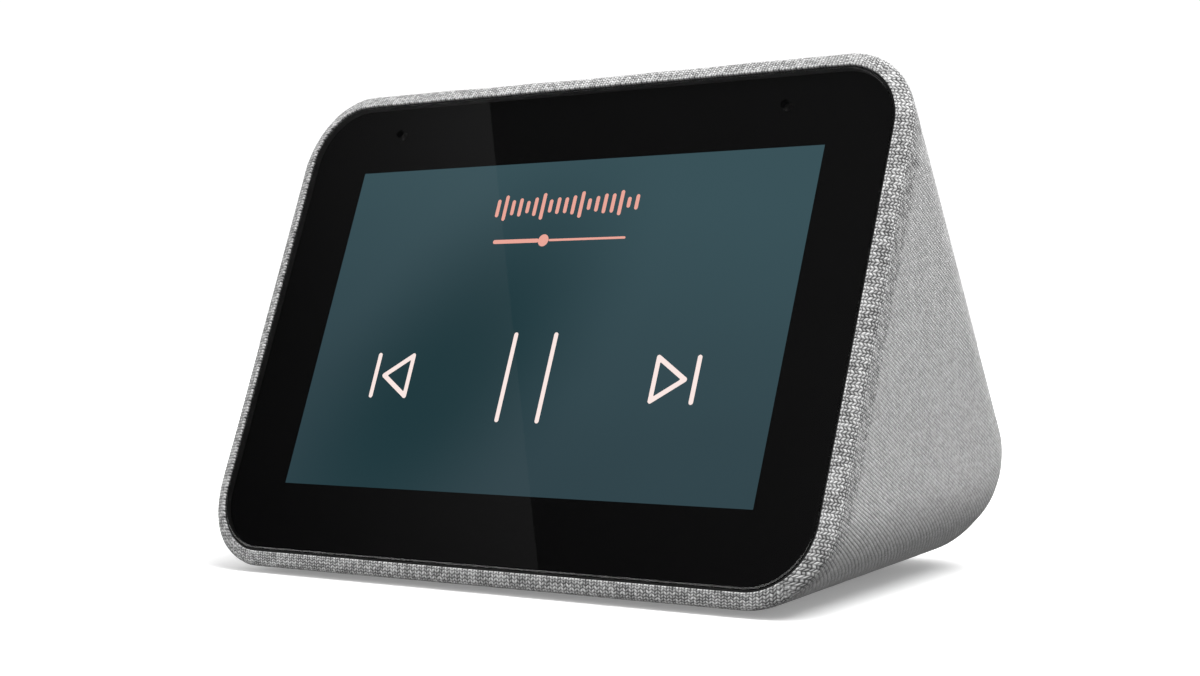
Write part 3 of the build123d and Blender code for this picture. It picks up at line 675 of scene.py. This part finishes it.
@dataclass(frozen=True)
class Opening:
    """A round-cornered hole through the knit.

    Attributes:
        origin: Middle of the hole.
        across: Unit vector along its long side.
        along: Unit vector along its short side.
        out: Unit vector out of the body.
        half_wide: Half of its length.
        half_high: Half of its width.
        corner: Corner radius.
    """

    origin: Vector
    across: Vector
    along: Vector
    out: Vector
    half_wide: float
    half_high: float
    corner: float

    def rim(self, count: int) -> list[Vector]:
        """Evenly spaced points round the rim, from the middle of its lower side.

        Args:
            count: How many points.

        Returns:
            The points, turning to the right first.
        """
        wide, high = self.half_wide - self.corner, self.half_high - self.corner
        quarter = math.pi / 2 * self.corner
        runs = [wide, quarter, 2 * high, quarter, 2 * wide, quarter, 2 * high, quarter, wide]
        total = sum(runs)
        points = []
        for index in range(count):
            left = total * index / count
            step = 0
            while left > runs[step] and step < len(runs) - 1:
                left -= runs[step]
                step += 1
            turn = -math.pi / 2 + (step // 2) * math.pi / 2
            sx, sy = ((1, -1), (1, 1), (-1, 1), (-1, -1))[(step // 2) % 4]
            if step % 2:
                angle = turn + left / self.corner
                u, v = sx * wide + self.corner * math.cos(angle), sy * high + self.corner * math.sin(angle)
            else:
                begun = left if step else wide + left
                side = (step // 2) % 4
                u, v = (
                    (-wide + begun, -self.half_high),
                    (self.half_wide, -high + left),
                    (wide - left, self.half_high),
                    (-self.half_wide, high - left),
                )[side]
                if step == 8:
                    u = -wide + left
            points.append(self.origin + self.across * u + self.along * v)
        return points

    def flat(self, points: np.ndarray) -> np.ndarray:
        """Points as across, along and out from the middle of the hole."""
        axes = np.array([self.across, self.along, self.out])
        return (points - np.array(self.origin)) @ axes.T

    def edge(self, points: np.ndarray) -> tuple[np.ndarray, np.ndarray]:
        """Distance of points from the rim, and the way to it.

        Args:
            points: Places in the row frame.

        Returns:
            The signed distance, negative inside the hole, and its unit gradient.
        """
        u, v, _ = self.flat(points).T
        wide, high = self.half_wide - self.corner, self.half_high - self.corner
        inner = np.stack([np.abs(u) - wide, np.abs(v) - high], 1)
        beyond = np.maximum(inner, 0)
        reach = np.linalg.norm(beyond, axis=1)
        distance = reach + np.minimum(inner.max(1), 0) - self.corner
        pick = np.eye(2)[inner.argmax(1)]
        way = np.where(reach[:, None] > 1e-9, beyond / np.maximum(reach, 1e-9)[:, None], pick)
        way = way * np.sign(np.stack([u, v], 1))
        gradient = way[:, :1] * np.array(self.across) + way[:, 1:] * np.array(self.along)
        return distance, gradient


def unit(rows: np.ndarray) -> np.ndarray:
    """Rows scaled to length one."""
    return rows / np.maximum(np.linalg.norm(rows, axis=1), TINY)[:, None]


def sides(quads: np.ndarray) -> np.ndarray:
    """The four sides of every quad, as vertex pairs."""
    return np.concatenate([quads[:, [0, 1]], quads[:, [1, 2]], quads[:, [2, 3]], quads[:, [3, 0]]])


def joined(parts: list[Mesh]) -> Mesh:
    """Vertices and faces of some small meshes, as one."""
    points, faces = [], []
    for more, outlines in parts:
        faces += [tuple(corner + len(points) for corner in outline) for outline in outlines]
        points += more
    return points, faces


def card_faces(rows: int, columns: int) -> list[tuple[int, int, int, int]]:
    """Faces of a card whose vertices run row by row, one more each way than its faces."""
    starts = [row * (columns + 1) + column for row in range(rows) for column in range(columns)]
    return [(at, at + 1, at + columns + 2, at + columns + 1) for at in starts]


def piece(
    name: str, points: np.ndarray, faces: list, material: bpy.types.Material, slot: str, body: str
) -> bpy.types.Object:
    """Make one mesh piece that rides on a body.

    Args:
        name: The piece's name.
        points: Its vertices.
        faces: Its faces, as vertex numbers.
        material: Its material.
        slot: The record's material slot that it stands for; not used.
        body: The CAD body that carries it.

    Returns:
        The object.
    """
    mesh = bpy.data.meshes.new(name)
    mesh.from_pydata([tuple(map(float, p)) for p in points], [], [tuple(map(int, f)) for f in faces])
    mesh.validate()
    mesh.materials.append(material)
    made = bpy.data.objects.new(name, mesh)
    bpy.context.scene.collection.objects.link(made)
    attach(made, body)
    return made


# ---------------------------------------------------------------- the knitted skin


@dataclass
class KnitSkin:
    """The knitted sleeve, from the rim round the glass to the rim round the sockets.

    Attributes:
        columns: Grid lines round the body.
        lip_rows: Closely set grid rows over the ridge.
        rows: Grid rows on the rest of the way.
        lip_step: Distance between the close rows.
        thick: Thickness of the cloth.
        soft_edge: Size of the rolled edge at each opening.
        edge_steps: Facets on a rolled edge.
        gap: Room between the cloth and what stands in an opening.
        middle: The point inside the body that the grid is drawn from.
        finish: The knit.
    """

    columns: int = 416
    lip_rows: int = 14
    rows: int = 92
    lip_step: float = 0.5 * MM
    thick: float = 0.9 * MM
    soft_edge: float = 0.22 * MM
    edge_steps: int = 4
    gap: float = 0.15 * MM
    middle: Vector = Vector((0.0, 0.005, 0.034))
    finish: KnitFinish = KnitFinish()

    def outer_surface(self) -> BVHTree:
        """The sleeve's outer surface with its openings bridged over.

        Returns:
            A tree to cast rays at.
        """
        shell = bmesh.new()
        for vertex in frame["nodes"]["fabric_sleeve"].data.vertices:
            shell.verts.new(vertex.co)
        made = bmesh.ops.convex_hull(shell, input=shell.verts)
        spare = made["geom_interior"] + made["geom_unused"]
        inside = list({v for v in spare if isinstance(v, bmesh.types.BMVert)})
        bmesh.ops.delete(shell, geom=inside, context="VERTS")
        tree = BVHTree.FromBMesh(shell)
        shell.free()
        return tree

    def mouth(self) -> Opening:
        """The opening round the glass."""
        middle = FACE.at(0, 0, -0.02 * MM)
        return Opening(middle, RIGHT, FACE.up, FACE.out, 54.4 * MM, 37.25 * MM, 9.7 * MM)

    def socket_hole(self) -> Opening:
        """The opening round the socket panel."""
        low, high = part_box("port_panel")
        middle = Vector((0.0, high.y, (low.z + high.z) / 2))
        half = (high.z - low.z) / 2 + self.gap
        return Opening(middle, RIGHT, UP, BACK, high.x + self.gap, half, half)

    def base_hole(self) -> Opening:
        """The opening round the base plate."""
        low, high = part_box("base_plate")
        middle = (low + high) / 2
        half_wide, half_deep = high.x + self.gap, (high.y - low.y) / 2 + self.gap
        return Opening(middle, RIGHT, BACK, -UP, half_wide, half_deep, 15.15 * MM)

    def button_hole(self) -> Opening:
        """The opening round the volume buttons, on the back slope."""
        out = -Vector(next(j["axis"] for j in frame["joints"] if j["name"] == "volume_up_press"))
        rim = np.array([v.co for v in frame["nodes"]["volume_bezel"].data.vertices])
        level = rim @ np.array(out)
        top = rim[level > level.max() - 0.01 * MM]
        middle = Vector((top.min(0) + top.max(0)) / 2)
        half = 4.65 * MM
        return Opening(middle, RIGHT, out.cross(RIGHT), out, 13.65 * MM, half, half)

    def grid(self, tree: BVHTree) -> tuple[np.ndarray, np.ndarray]:
        """Grid points on the surface, in even steps from the mouth to the sockets.

        Args:
            tree: The outer surface.

        Returns:
            The points, by row and column, and their distance from the mouth's rim.
        """
        front = self.mouth().rim(self.columns)
        back = self.socket_hole().rim(self.columns)
        samples = 260
        points = np.zeros((self.lip_rows + self.rows, self.columns, 3))
        runs = np.zeros(points.shape[:2])
        for column, (start, end) in enumerate(zip(front, back)):
            first, last = (start - self.middle).normalized(), (end - self.middle).normalized()
            angle = first.angle(last)
            line = []
            for step in range(samples + 1):
                share = step / samples
                way = first * math.sin((1 - share) * angle) + last * math.sin(share * angle)
                line.append(tree.ray_cast(self.middle, way.normalized())[0])
            line = np.array(line)
            run = np.concatenate([[0], np.cumsum(np.linalg.norm(np.diff(line, axis=0), axis=1))])
            near = np.arange(self.lip_rows) * self.lip_step
            far = np.linspace(near[-1], run[-1], self.rows + 1)[1:]
            wanted = np.concatenate([near, far])
            points[:, column] = np.stack([np.interp(wanted, run, line[:, axis]) for axis in range(3)], 1)
            runs[:, column] = wanted
        return points, runs

    def eased(self, points: np.ndarray) -> np.ndarray:
        """The grid with its ridge rounded, as cloth goes over an edge.

        Args:
            points: The grid.

        Returns:
            The same grid, softened over the close rows.
        """
        last = self.lip_rows + 2
        for _ in range(3):
            middle = (points[:last - 1] + 2 * points[1:last] + points[2:last + 1]) / 4
            points[2:last] = middle[1:]
        return points

    def trimmed(self, points: np.ndarray, quads: np.ndarray, hole: Opening) -> np.ndarray:
        """Take an opening out of the grid, and fit the cut edge to its rim.

        Args:
            points: All vertices, which are moved in place.
            quads: All faces.
            hole: The opening.

        Returns:
            The faces that are left.
        """
        distance, _ = hole.edge(points)
        level = np.abs(hole.flat(points)[:, 2])
        near = (level < 9 * MM) & (distance < 2 * MM)
        middles = points[quads].mean(1)
        gone = (hole.edge(middles)[0] < 0) & near[quads].all(1)
        cut = np.zeros(len(points), bool)
        cut[quads[gone]] = True
        left = quads[~gone]
        kept = np.zeros(len(points), bool)
        kept[left] = True
        rim = np.nonzero(cut & kept)[0]
        away, gradient = hole.edge(points[rim])
        points[rim] -= away[:, None] * gradient
        inside = np.nonzero(kept & ~cut & near & (hole.edge(points)[0] < 3 * MM))[0]
        ring = sides(left)
        ring = np.concatenate([ring, ring[:, ::-1]])
        for _ in range(6):
            total, count = np.zeros_like(points), np.zeros(len(points))
            np.add.at(total, ring[:, 0], points[ring[:, 1]])
            np.add.at(count, ring[:, 0], 1)
            points[inside] = total[inside] / count[inside, None]
        return left

    @staticmethod
    def normals(points: np.ndarray, quads: np.ndarray) -> np.ndarray:
        """Unit normal at each vertex.

        Args:
            points: The vertices.
            quads: The faces.

        Returns:
            One row for each vertex.
        """
        a, b, c, d = (points[quads[:, corner]] for corner in range(4))
        across = np.cross(c - a, d - b)
        total = np.zeros_like(points)
        for corner in range(4):
            np.add.at(total, quads[:, corner], across)
        return unit(total)

    def build(self) -> bpy.types.Object:
        """Make the skin and let it stand for the CAD sleeve.

        Returns:
            The object.
        """
        grid, runs = self.grid(self.outer_surface())
        grid = self.eased(grid)
        rows, columns = runs.shape
        number = np.arange(rows * columns).reshape(rows, columns)
        beside = np.roll(number, -1, axis=1)
        quads = np.stack([number[:-1], beside[:-1], beside[1:], number[1:]], -1).reshape(-1, 4)
        points = grid.reshape(-1, 3)
        for hole in (self.base_hole(), self.button_hole()):
            quads = self.trimmed(points, quads, hole)
        normals = self.normals(points, quads)
        if (normals * (points - np.array(self.middle))).sum() < 0:
            quads, normals = quads[:, ::-1], -normals
        # By the glass the cloth is pushed straight out of the face, and a few rows on along its normals.
        turned = np.clip(np.arange(rows) / 5, 0, 1)[:, None, None]
        pushed = normals.reshape(rows, columns, 3) * turned + np.array(FACE.out) * (1 - turned)
        pushed = unit(pushed.reshape(-1, 3))
        facing = self.facing(runs, normals.reshape(rows, columns, 3))
        skin = self.closed(points, quads, pushed, runs.ravel() / MM, facing.ravel())
        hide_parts("fabric_sleeve")
        return skin

    def facing(self, runs: np.ndarray, normals: np.ndarray) -> np.ndarray:
        """How far the stitches follow the top and bottom rather than the sides.

        Args:
            runs: Distances from the mouth's rim.
            normals: Normals by row and column.

        Returns:
            0 on the sides and 1 above and below.
        """
        mouth = self.mouth()
        rim = np.array(mouth.rim(self.columns))
        _, gradient = mouth.edge(rim * 1.0001)
        sideways = np.abs(gradient[:, 0])[None, :].repeat(len(runs), 0)
        deep = np.clip((runs / MM - 3) / 3, 0, 1)
        lean = sideways * (1 - deep) + np.abs(normals[:, :, 0]) * deep
        share = np.clip((lean - 0.4) / 0.35, 0, 1)
        return 1 - share * share * (3 - 2 * share)

    def closed(self, points: np.ndarray, quads: np.ndarray, pushed: np.ndarray, runs: np.ndarray,
               facing: np.ndarray) -> bpy.types.Object:
        """Give the cut grid its thickness and soft edges, and make the piece.

        Args:
            points: The outer vertices.
            quads: The outer faces.
            pushed: The way out of the cloth at each vertex.
            runs: Distances from the mouth's rim, for the stitch map.
            facing: Which way the stitches follow, for the stitch map.

        Returns:
            The object.
        """
        edges = sides(quads)
        owner = np.tile(np.arange(len(quads)), 4)
        key = np.sort(edges, axis=1)
        _, first, uses = np.unique(key, axis=0, return_index=True, return_counts=True)
        rim = edges[first[uses == 1]]
        behind = points[quads[owner[first[uses == 1]]]].mean(1)
        outward = np.zeros_like(points)
        away = (points[rim[:, 0]] + points[rim[:, 1]]) / 2 - behind
        line = unit(points[rim[:, 1]] - points[rim[:, 0]])
        away = unit(away - (away * line).sum(1)[:, None] * line)
        for corner in range(2):
            np.add.at(outward, rim[:, corner], away)
        outward = unit(outward)
        count, steps = len(points), self.edge_steps
        edge_rows = np.unique(rim)
        layers = [points - outward * self.soft_edge]
        sources = [np.arange(count)]
        for step in range(1, steps + 1):
            turn = math.pi / 2 * step / steps
            back = outward[edge_rows] * (self.soft_edge * (1 - math.sin(turn)))
            deep = pushed[edge_rows] * (self.soft_edge * (1 - math.cos(turn)))
            layers.append(points[edge_rows] - back - deep)
            sources.append(edge_rows)
        layers.append(points - pushed * self.thick)
        sources.append(np.arange(count))
        starts = np.cumsum([0] + [len(layer) for layer in layers])
        place = np.zeros(count, int)
        place[edge_rows] = np.arange(len(edge_rows))
        rolled = [starts[step] + place[rim] for step in range(1, steps + 1)]
        levels = [rim, *rolled, starts[steps + 1] + rim]
        strips = [np.stack([a[:, 1], a[:, 0], b[:, 0], b[:, 1]], 1) for a, b in zip(levels, levels[1:])]
        faces = np.concatenate([quads, quads[:, ::-1] + starts[steps + 1], *strips])
        vertices, source = np.concatenate(layers), np.concatenate(sources)
        used, faces = np.unique(faces, return_inverse=True)
        faces = faces.reshape(-1, 4)
        vertices, source = vertices[used], source[used]
        knit = self.finish.material("heather_knit")
        skin = piece("knit_skin", vertices, faces, knit, "knit_fabric", "casing")
        layer = skin.data.uv_layers.new(name="knit")
        corner = np.zeros(len(skin.data.loops), int)
        skin.data.loops.foreach_get("vertex_index", corner)
        both = np.stack([runs[source][corner], facing[source][corner]], 1)
        layer.data.foreach_set("uv", both.astype(np.float32).ravel())
        skin.data.shade_smooth()
        return skin


# ---------------------------------------------------------------- the screen


@dataclass
class Screen:
    """What the lit picture shows: playback symbols, a level row and a progress line.

    Attributes:
        right: How far the picture's middle lies to the right of the glass's.
        drop: And how far below it.
        front: Depth of the marks' front under the glass's front surface.
        back: Depth of their back.
        stroke: Width of the thin strokes.
        corner_steps: Facets on a quarter of a round corner.
        symbols: Finish of the playback symbols.
        captions: Finish of the level row and progress line.
    """

    right: float = 0.26 * MM
    drop: float = 0.12 * MM
    front: float = 1.14 * MM
    back: float = 1.19 * MM
    stroke: float = 0.72 * MM
    corner_steps: int = 6
    symbols: GlowFinish = GlowFinish(tint(255, 236, 231))
    captions: GlowFinish = GlowFinish(tint(238, 170, 156))

    def rounded(self, corners: list[Plot], radius: float) -> list[Plot]:
        """A convex outline round some points, at a distance from them.

        Args:
            corners: The points, turning to the left.
            radius: The distance.

        Returns:
            The outline's points; each corner gives as many as any other.
        """
        line = []
        count = len(corners)
        for index, (x, y) in enumerate(corners):
            before, after = corners[index - 1], corners[(index + 1) % count]
            start = math.atan2(y - before[1], x - before[0]) - math.pi / 2
            turn = math.atan2(after[1] - y, after[0] - x) - math.pi / 2 - start
            turn = turn % (2 * math.pi)
            steps = 2 * self.corner_steps
            for step in range(steps + 1):
                angle = start + turn * step / steps
                line.append((x + radius * math.cos(angle), y + radius * math.sin(angle)))
        return line

    def inset(self, corners: list[Plot], amount: float) -> list[Plot]:
        """Corners moved in so that each side lies deeper by an amount.

        Args:
            corners: The corners, turning to the left.
            amount: The distance.

        Returns:
            The new corners.
        """
        moved = []
        count = len(corners)
        for index, (x, y) in enumerate(corners):
            before, after = Vector(corners[index - 1]), Vector(corners[(index + 1) % count])
            here = Vector((x, y))
            to_before, to_after = (before - here).normalized(), (after - here).normalized()
            bisector = (to_before + to_after).normalized()
            moved.append(tuple(here + bisector * (amount / math.sin(to_before.angle(to_after) / 2))))
        return moved

    def solid(self, outer: list, inner: list | None) -> Mesh:
        """A thin solid from an outline, with a hole if there is an inner one.

        Args:
            outer: The outline.
            inner: The hole's outline with as many points, or None.

        Returns:
            Its vertices and faces.
        """
        loops = [outer] + ([inner] if inner else [])
        points = [
            FACE.at(self.right + u * MM, v * MM - self.drop, -deep)
            for loop in loops for deep in (self.front, self.back) for u, v in loop
        ]
        count = len(outer)
        faces = []
        for index in range(count):
            after = (index + 1) % count
            faces.append((after, index, count + index, count + after))
            if inner:
                faces.append((2 * count + index, 2 * count + after, 3 * count + after, 3 * count + index))
                faces.append((index, after, 2 * count + after, 2 * count + index))
                faces.append((count + after, count + index, 3 * count + index, 3 * count + after))
        if not inner:
            faces.append(tuple(range(count)))
            faces.append(tuple(reversed(range(count, 2 * count))))
        return points, faces

    def bar(self, start: Plot, end: Plot, wide: float) -> Mesh:
        """A round-ended bar between two points."""
        return self.solid(self.rounded([start, end], wide / 2), None)

    def triangle(self, corners: list[Plot]) -> Mesh:
        """A triangle drawn as an outline."""
        half = self.stroke / MM / 2
        tight = self.rounded(self.inset(corners, half + 0.12), 0.12)
        return self.solid(self.rounded(corners, half), tight)

    def gathered(self, name: str, parts: list, finish: GlowFinish) -> bpy.types.Object:
        """Join some marks into one piece.

        Args:
            name: The piece's name.
            parts: The marks' vertices and faces.
            finish: How they glow.

        Returns:
            The object.
        """
        return piece(name, *joined(parts), finish.material(name), "display_face", "casing")

    def build(self) -> list[bpy.types.Object]:
        """Make the marks and light the panel behind them.

        Returns:
            The new pieces.
        """
        wide = self.stroke / MM
        symbols = [self.bar((x, -15.1 + wide / 2), (x, -1.3 - wide / 2), wide) for x in (-3.75, 3.75)]
        for side in (-1, 1):
            symbols.append(self.bar((side * 29.8, -11.8 + wide / 2), (side * 29.8, -4.6 - wide / 2), wide))
            tip, base = side * 28.0, side * 22.9
            corners = [(base, -11.4), (tip, -8.2), (base, -5.0)]
            symbols.append(self.triangle(corners if side > 0 else corners[::-1]))
        captions = []
        bars, level_high, line_high, thick_line, thin_line = 19, 18.7, 13.2, 0.62, 0.34
        for index in range(bars):
            x = (index / (bars - 1) - 0.5) * 26.2
            swell = 0.5 + 0.5 * math.sin(index * 1.9) * math.cos(index * 0.55)
            half = 0.35 + 1.55 * swell
            captions.append(self.bar((x, level_high - half), (x, level_high + half), thick_line))
        captions.append(self.bar((-12.2, line_high), (-4.0, line_high), thick_line))
        captions.append(self.bar((-1.6, line_high), (12.2, line_high), thin_line))
        knob_x, knob_r, facets = -2.8, 0.95, 32
        turns = [2 * math.pi * step / facets for step in range(facets)]
        knob = [(knob_x + knob_r * math.cos(t), line_high + knob_r * math.sin(t)) for t in turns]
        captions.append(self.solid(knob, None))
        panel = frame["nodes"]["display_panel"]
        panel.data.materials[0] = PictureFinish().material("lit_picture")
        return [
            self.gathered("playback_symbols", symbols, self.symbols),
            self.gathered("level_and_progress", captions, self.captions),
        ]


# ---------------------------------------------------------------- the rest of the parts


@dataclass
class Hardware:
    """Small metal details that the CAD leaves plain.

    Attributes:
        contact_wide: Width of one USB contact.
        contact_pitch: Distance between contacts.
        contact_thick: Height of a contact over the tongue.
    """

    contact_wide: float = 1.0 * MM
    contact_pitch: float = 2.4 * MM
    contact_thick: float = 0.06 * MM

    def strip(self, low: Vector, high: Vector, bevel: float) -> Mesh:
        """A flat strip with its upper edges eased.

        Args:
            low: Its lowest corner.
            high: Its highest corner.
            bevel: How far the edges are eased.

        Returns:
            Its vertices and faces.
        """
        points = []
        for z, pull in ((low.z, 0.0), (high.z - bevel, 0.0), (high.z, bevel)):
            points += [
                Vector((low.x + pull, low.y + pull, z)), Vector((high.x - pull, low.y + pull, z)),
                Vector((high.x - pull, high.y - pull, z)), Vector((low.x + pull, high.y - pull, z)),
            ]
        faces = [(3, 2, 1, 0), (8, 9, 10, 11)]
        for level in (0, 4):
            for side in range(4):
                after = (side + 1) % 4
                faces.append((level + side, level + after, level + 4 + after, level + 4 + side))
        return points, faces

    def build(self) -> bpy.types.Object:
        """The four contacts on the tongue of the USB socket.

        Returns:
            The object.
        """
        low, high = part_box("usb_tongue")
        strips = []
        for index in range(4):
            x = (index - 1.5) * self.contact_pitch
            start = Vector((x - self.contact_wide / 2, high.y - 8 * MM, low.z - self.contact_thick))
            end = Vector((x + self.contact_wide / 2, high.y - 0.4 * MM, low.z))
            strips.append(self.strip(start, end, 0.02 * MM))
        material = FINISHES["contact_brass"].material("gilded_contacts")
        return piece("usb_contacts", *joined(strips), material, "contact_brass", "casing")


@dataclass
class CadParts:
    """The CAD nodes that stay, each with its finish."""

    def build(self) -> int:
        """Dress every CAD node by its material slot.

        Returns:
            How many nodes were dressed.
        """
        made = {slot: finish.material(slot) for slot, finish in FINISHES.items()}
        made["cover_glass"] = GlassFinish().material("cover_glass")
        made["knit_fabric"] = KnitFinish().material("knit_fabric_inner")
        made["display_face"] = PictureFinish().material("display_face")
        for node in frame["nodes"].values():
            for index, old in enumerate(node.data.materials):
                node.data.materials[index] = made[old.name.split(".")[0]]
        shrink = frame["nodes"]["glass_ink_border"].modifiers.new("set_back", "DISPLACE")
        shrink.strength, shrink.mid_level = -0.008 * MM, 0.0
        return len(frame["nodes"])


# ---------------------------------------------------------------- studio


@dataclass
class Studio:
    """White table with a painted shadow round the body, soft lamps, and the dark wall and softbox that the
    glass mirrors.

    Attributes:
        lens: Focal length in millimetres on a 36 mm sensor.
        eye: Place of the camera.
        heading: Turn of the camera to the left, in degrees.
        backdrop: Brightness of the white surroundings as they are seen.
        sky: Light that falls from above.
        ground: Light that comes up from below.
        table_glow_in_painted_shadow: Light that the table gives off by the body; it is kept low there as a
            painted shadow and grows with distance.
        box_glow: Brightness of the softbox at its near edge.
    """

    lens: float = 64.81
    eye: Vector = Vector((0.19885, -0.27104, 0.03576))
    heading: float = 37.59
    backdrop: float = 1.08
    sky: float = 0.76
    ground: float = 0.12
    table_glow_in_painted_shadow: float = 0.2
    box_glow: float = 0.14

    def camera(self) -> bpy.types.Object:
        """Place the camera.

        Returns:
            The camera.
        """
        data = bpy.data.cameras.new("camera")
        data.lens, data.sensor_width, data.sensor_fit = self.lens, 36.0, "HORIZONTAL"
        data.clip_start, data.clip_end = 0.01, 50.0
        made = bpy.data.objects.new("camera", data)
        made.location = self.eye
        made.rotation_euler = (math.radians(90), 0.0, math.radians(self.heading))
        bpy.context.scene.collection.objects.link(made)
        bpy.context.scene.camera = made
        return made

    def staged(self, name: str, points: list, faces: list, material: bpy.types.Material) -> bpy.types.Object:
        """A mesh that belongs to the studio.

        Args:
            name: Its name.
            points: Its vertices.
            faces: Its faces.
            material: Its material.

        Returns:
            The object.
        """
        mesh = bpy.data.meshes.new(name)
        mesh.from_pydata([tuple(p) for p in points], [], faces)
        mesh.materials.append(material)
        made = bpy.data.objects.new(name, mesh)
        bpy.context.scene.collection.objects.link(made)
        return made

    def mirror_card(
        self, name: str, points: list, glow: list[float], shape: tuple[int, int], clear: bool
    ) -> bpy.types.Object:
        """A glowing card that shows in reflections and nowhere else.

        Args:
            name: Its name.
            points: Its vertices, row by row.
            glow: The brightness at each vertex.
            shape: Its rows and columns of faces.
            clear: Whether what is behind it shows through.

        Returns:
            The card.
        """
        graph = Graph(name)
        level = graph.out(graph.node("ShaderNodeAttribute", {"attribute_name": "glow"}), "Fac")
        light = graph.out(graph.node("ShaderNodeEmission", inputs={"Color": WHITE, "Strength": level}))
        if clear:
            see_through = graph.out(graph.node("ShaderNodeBsdfTransparent"))
            light = graph.out(graph.node("ShaderNodeAddShader", inputs={0: light, 1: see_through}))
        card = self.staged(name, points, card_faces(*shape), graph.finish(light))
        card.data.attributes.new("glow", "FLOAT", "POINT").data.foreach_set("value", glow)
        card.visible_camera = card.visible_diffuse = card.visible_shadow = False
        card.visible_transmission = card.visible_volume_scatter = False
        return card

    def mirror_point(self, across: float, along: float, away: float) -> Vector:
        """Where the camera's ray goes after the glass.

        Args:
            across: Place on the glass, to the right, in millimetres.
            along: Place on the glass, up, in millimetres.
            away: Distance along the mirrored ray.

        Returns:
            The point.
        """
        spot = FACE.at(across * MM, along * MM)
        ray = (spot - self.eye).normalized()
        return spot + (ray - FACE.out * (2 * ray.dot(FACE.out))) * away

    def softbox(self) -> bpy.types.Object:
        """The card whose straight edge crosses the glass.

        Returns:
            The card.
        """
        columns, rows, half_high, wide = 14, 4, 55, 75
        edge_x, edge_rise, edge_lean = -19.1, 36.9, 30.6 / 74.1
        points, glow = [], []
        for row in range(rows + 1):
            rise = -half_high + 2 * half_high * row / rows
            edge = edge_x + (edge_rise - rise) * edge_lean
            for column in range(columns + 1):
                share = column / columns
                points.append(self.mirror_point(edge - wide * share, rise, 0.6))
                fade = max(0.0, 1 - share * 1.15) ** 1.6
                glow.append(self.box_glow * fade * (0.88 + rise / 300))
        return self.mirror_card("mirror_softbox", points, glow, (rows, columns), True)

    def dark_wall(self) -> bpy.types.Object:
        """The dark curved wall ahead of the glass.

        Returns:
            The wall.
        """
        columns, rows = 40, 14
        points, glow = [], []
        for row in range(rows + 1):
            rise = -4 + 84 * row / rows
            for column in range(columns + 1):
                turn = -120 + 240 * column / columns
                level = math.cos(math.radians(rise))
                points.append(Vector((
                    level * math.sin(math.radians(turn)),
                    -level * math.cos(math.radians(turn)),
                    math.sin(math.radians(rise)) + 0.03,
                )))
                shade = 0.05 + 0.048 * (turn + 50) / 15 + 0.04 * min(0.0, (rise - 34) / 10)
                glow.append(min(0.12, max(0.02, shade)))
        return self.mirror_card("mirror_wall", points, glow, (rows, columns), False)

    def table(self) -> bpy.types.Object:
        """The white table, with a painted shadow round the body.

        Returns:
            The table.
        """
        graph = Graph("white_table_with_painted_shadow")
        mottle = graph.noise(graph.place(), 8.0, 2.0)
        white = graph.mix(mottle, (0.93, 0.93, 0.93), (0.95, 0.95, 0.95))
        x, y, _ = graph.split(graph.place())
        # Painted shadow: the table's own glow drops to table_glow_in_painted_shadow by the body and rises to
        # full white further out.
        far = graph.smooth(x * x + y * y, 0.02, 0.35)
        material = graph.finish(graph.shader({
            "Base Color": white,
            "Roughness": 0.9,
            "Specular IOR Level": 0.1,
            "Emission Color": graph.mix(far, (self.table_glow_in_painted_shadow,) * 3, WHITE),
            "Emission Strength": 1.0,
        }))
        count, reach = 96, 12.0
        turns = [2 * math.pi * step / count for step in range(count)]
        points = [(reach * math.cos(turn), reach * math.sin(turn), -0.1 * MM) for turn in turns]
        made = self.staged("white_table_with_painted_shadow", points, [tuple(range(count))], material)
        made.visible_diffuse = False
        return made

    def lamp(self, name: str, place: Vector, size: float, power: float) -> bpy.types.Object:
        """A square soft lamp aimed at the body.

        Args:
            name: Its name.
            place: Where it hangs.
            size: Its side.
            power: Its power in watts.

        Returns:
            The lamp.
        """
        data = bpy.data.lights.new(name, "AREA")
        data.shape, data.size, data.energy = "SQUARE", size, power
        made = bpy.data.objects.new(name, data)
        made.location = place
        made.rotation_mode = "QUATERNION"
        made.rotation_quaternion = (place - Vector((0.0, 0.0, 0.03))).to_track_quat("Z", "Y")
        made.visible_glossy = False
        bpy.context.scene.collection.objects.link(made)
        return made

    def surroundings(self) -> None:
        """Set the even white surroundings and a plain view transform."""
        graph = Graph("white_room", bpy.data.worlds)
        _, _, rise = graph.split(graph.out(graph.node("ShaderNodeTexCoord"), "Generated"))
        light = graph.smooth(rise, -0.1, 0.25) * (self.sky - self.ground) + self.ground
        seen = graph.out(graph.node("ShaderNodeLightPath"), "Is Camera Ray")
        strength = light * (1 - seen) + seen * self.backdrop
        glow = graph.node("ShaderNodeBackground", inputs={"Color": WHITE, "Strength": strength})
        bpy.context.scene.world = graph.finish(graph.out(glow), "ShaderNodeOutputWorld")
        bpy.context.scene.view_settings.view_transform = "Standard"

    def build(self) -> None:
        """Set the whole studio."""
        self.surroundings()
        self.camera()
        self.table()
        self.dark_wall()
        self.softbox()
        self.lamp("overhead_lamp", Vector((0.22, 0.0, 0.46)), 0.45, 3.6)
        self.lamp("front_lamp", Vector((-0.30, -0.70, 0.12)), 0.5, 3.0)


def main() -> None:
    """Build every part of the scene."""
    logging.basicConfig(level=logging.INFO, format="%(name)s: %(message)s")
    LOG.info("%d CAD nodes dressed", CadParts().build())
    skin = KnitSkin().build()
    LOG.info("%s: %d faces", skin.name, len(skin.data.polygons))
    for made in (*Screen().build(), Hardware().build()):
        LOG.info("%s: %d faces", made.name, len(made.data.polygons))
    Studio().build()


if __name__ == "__main__":
    main()
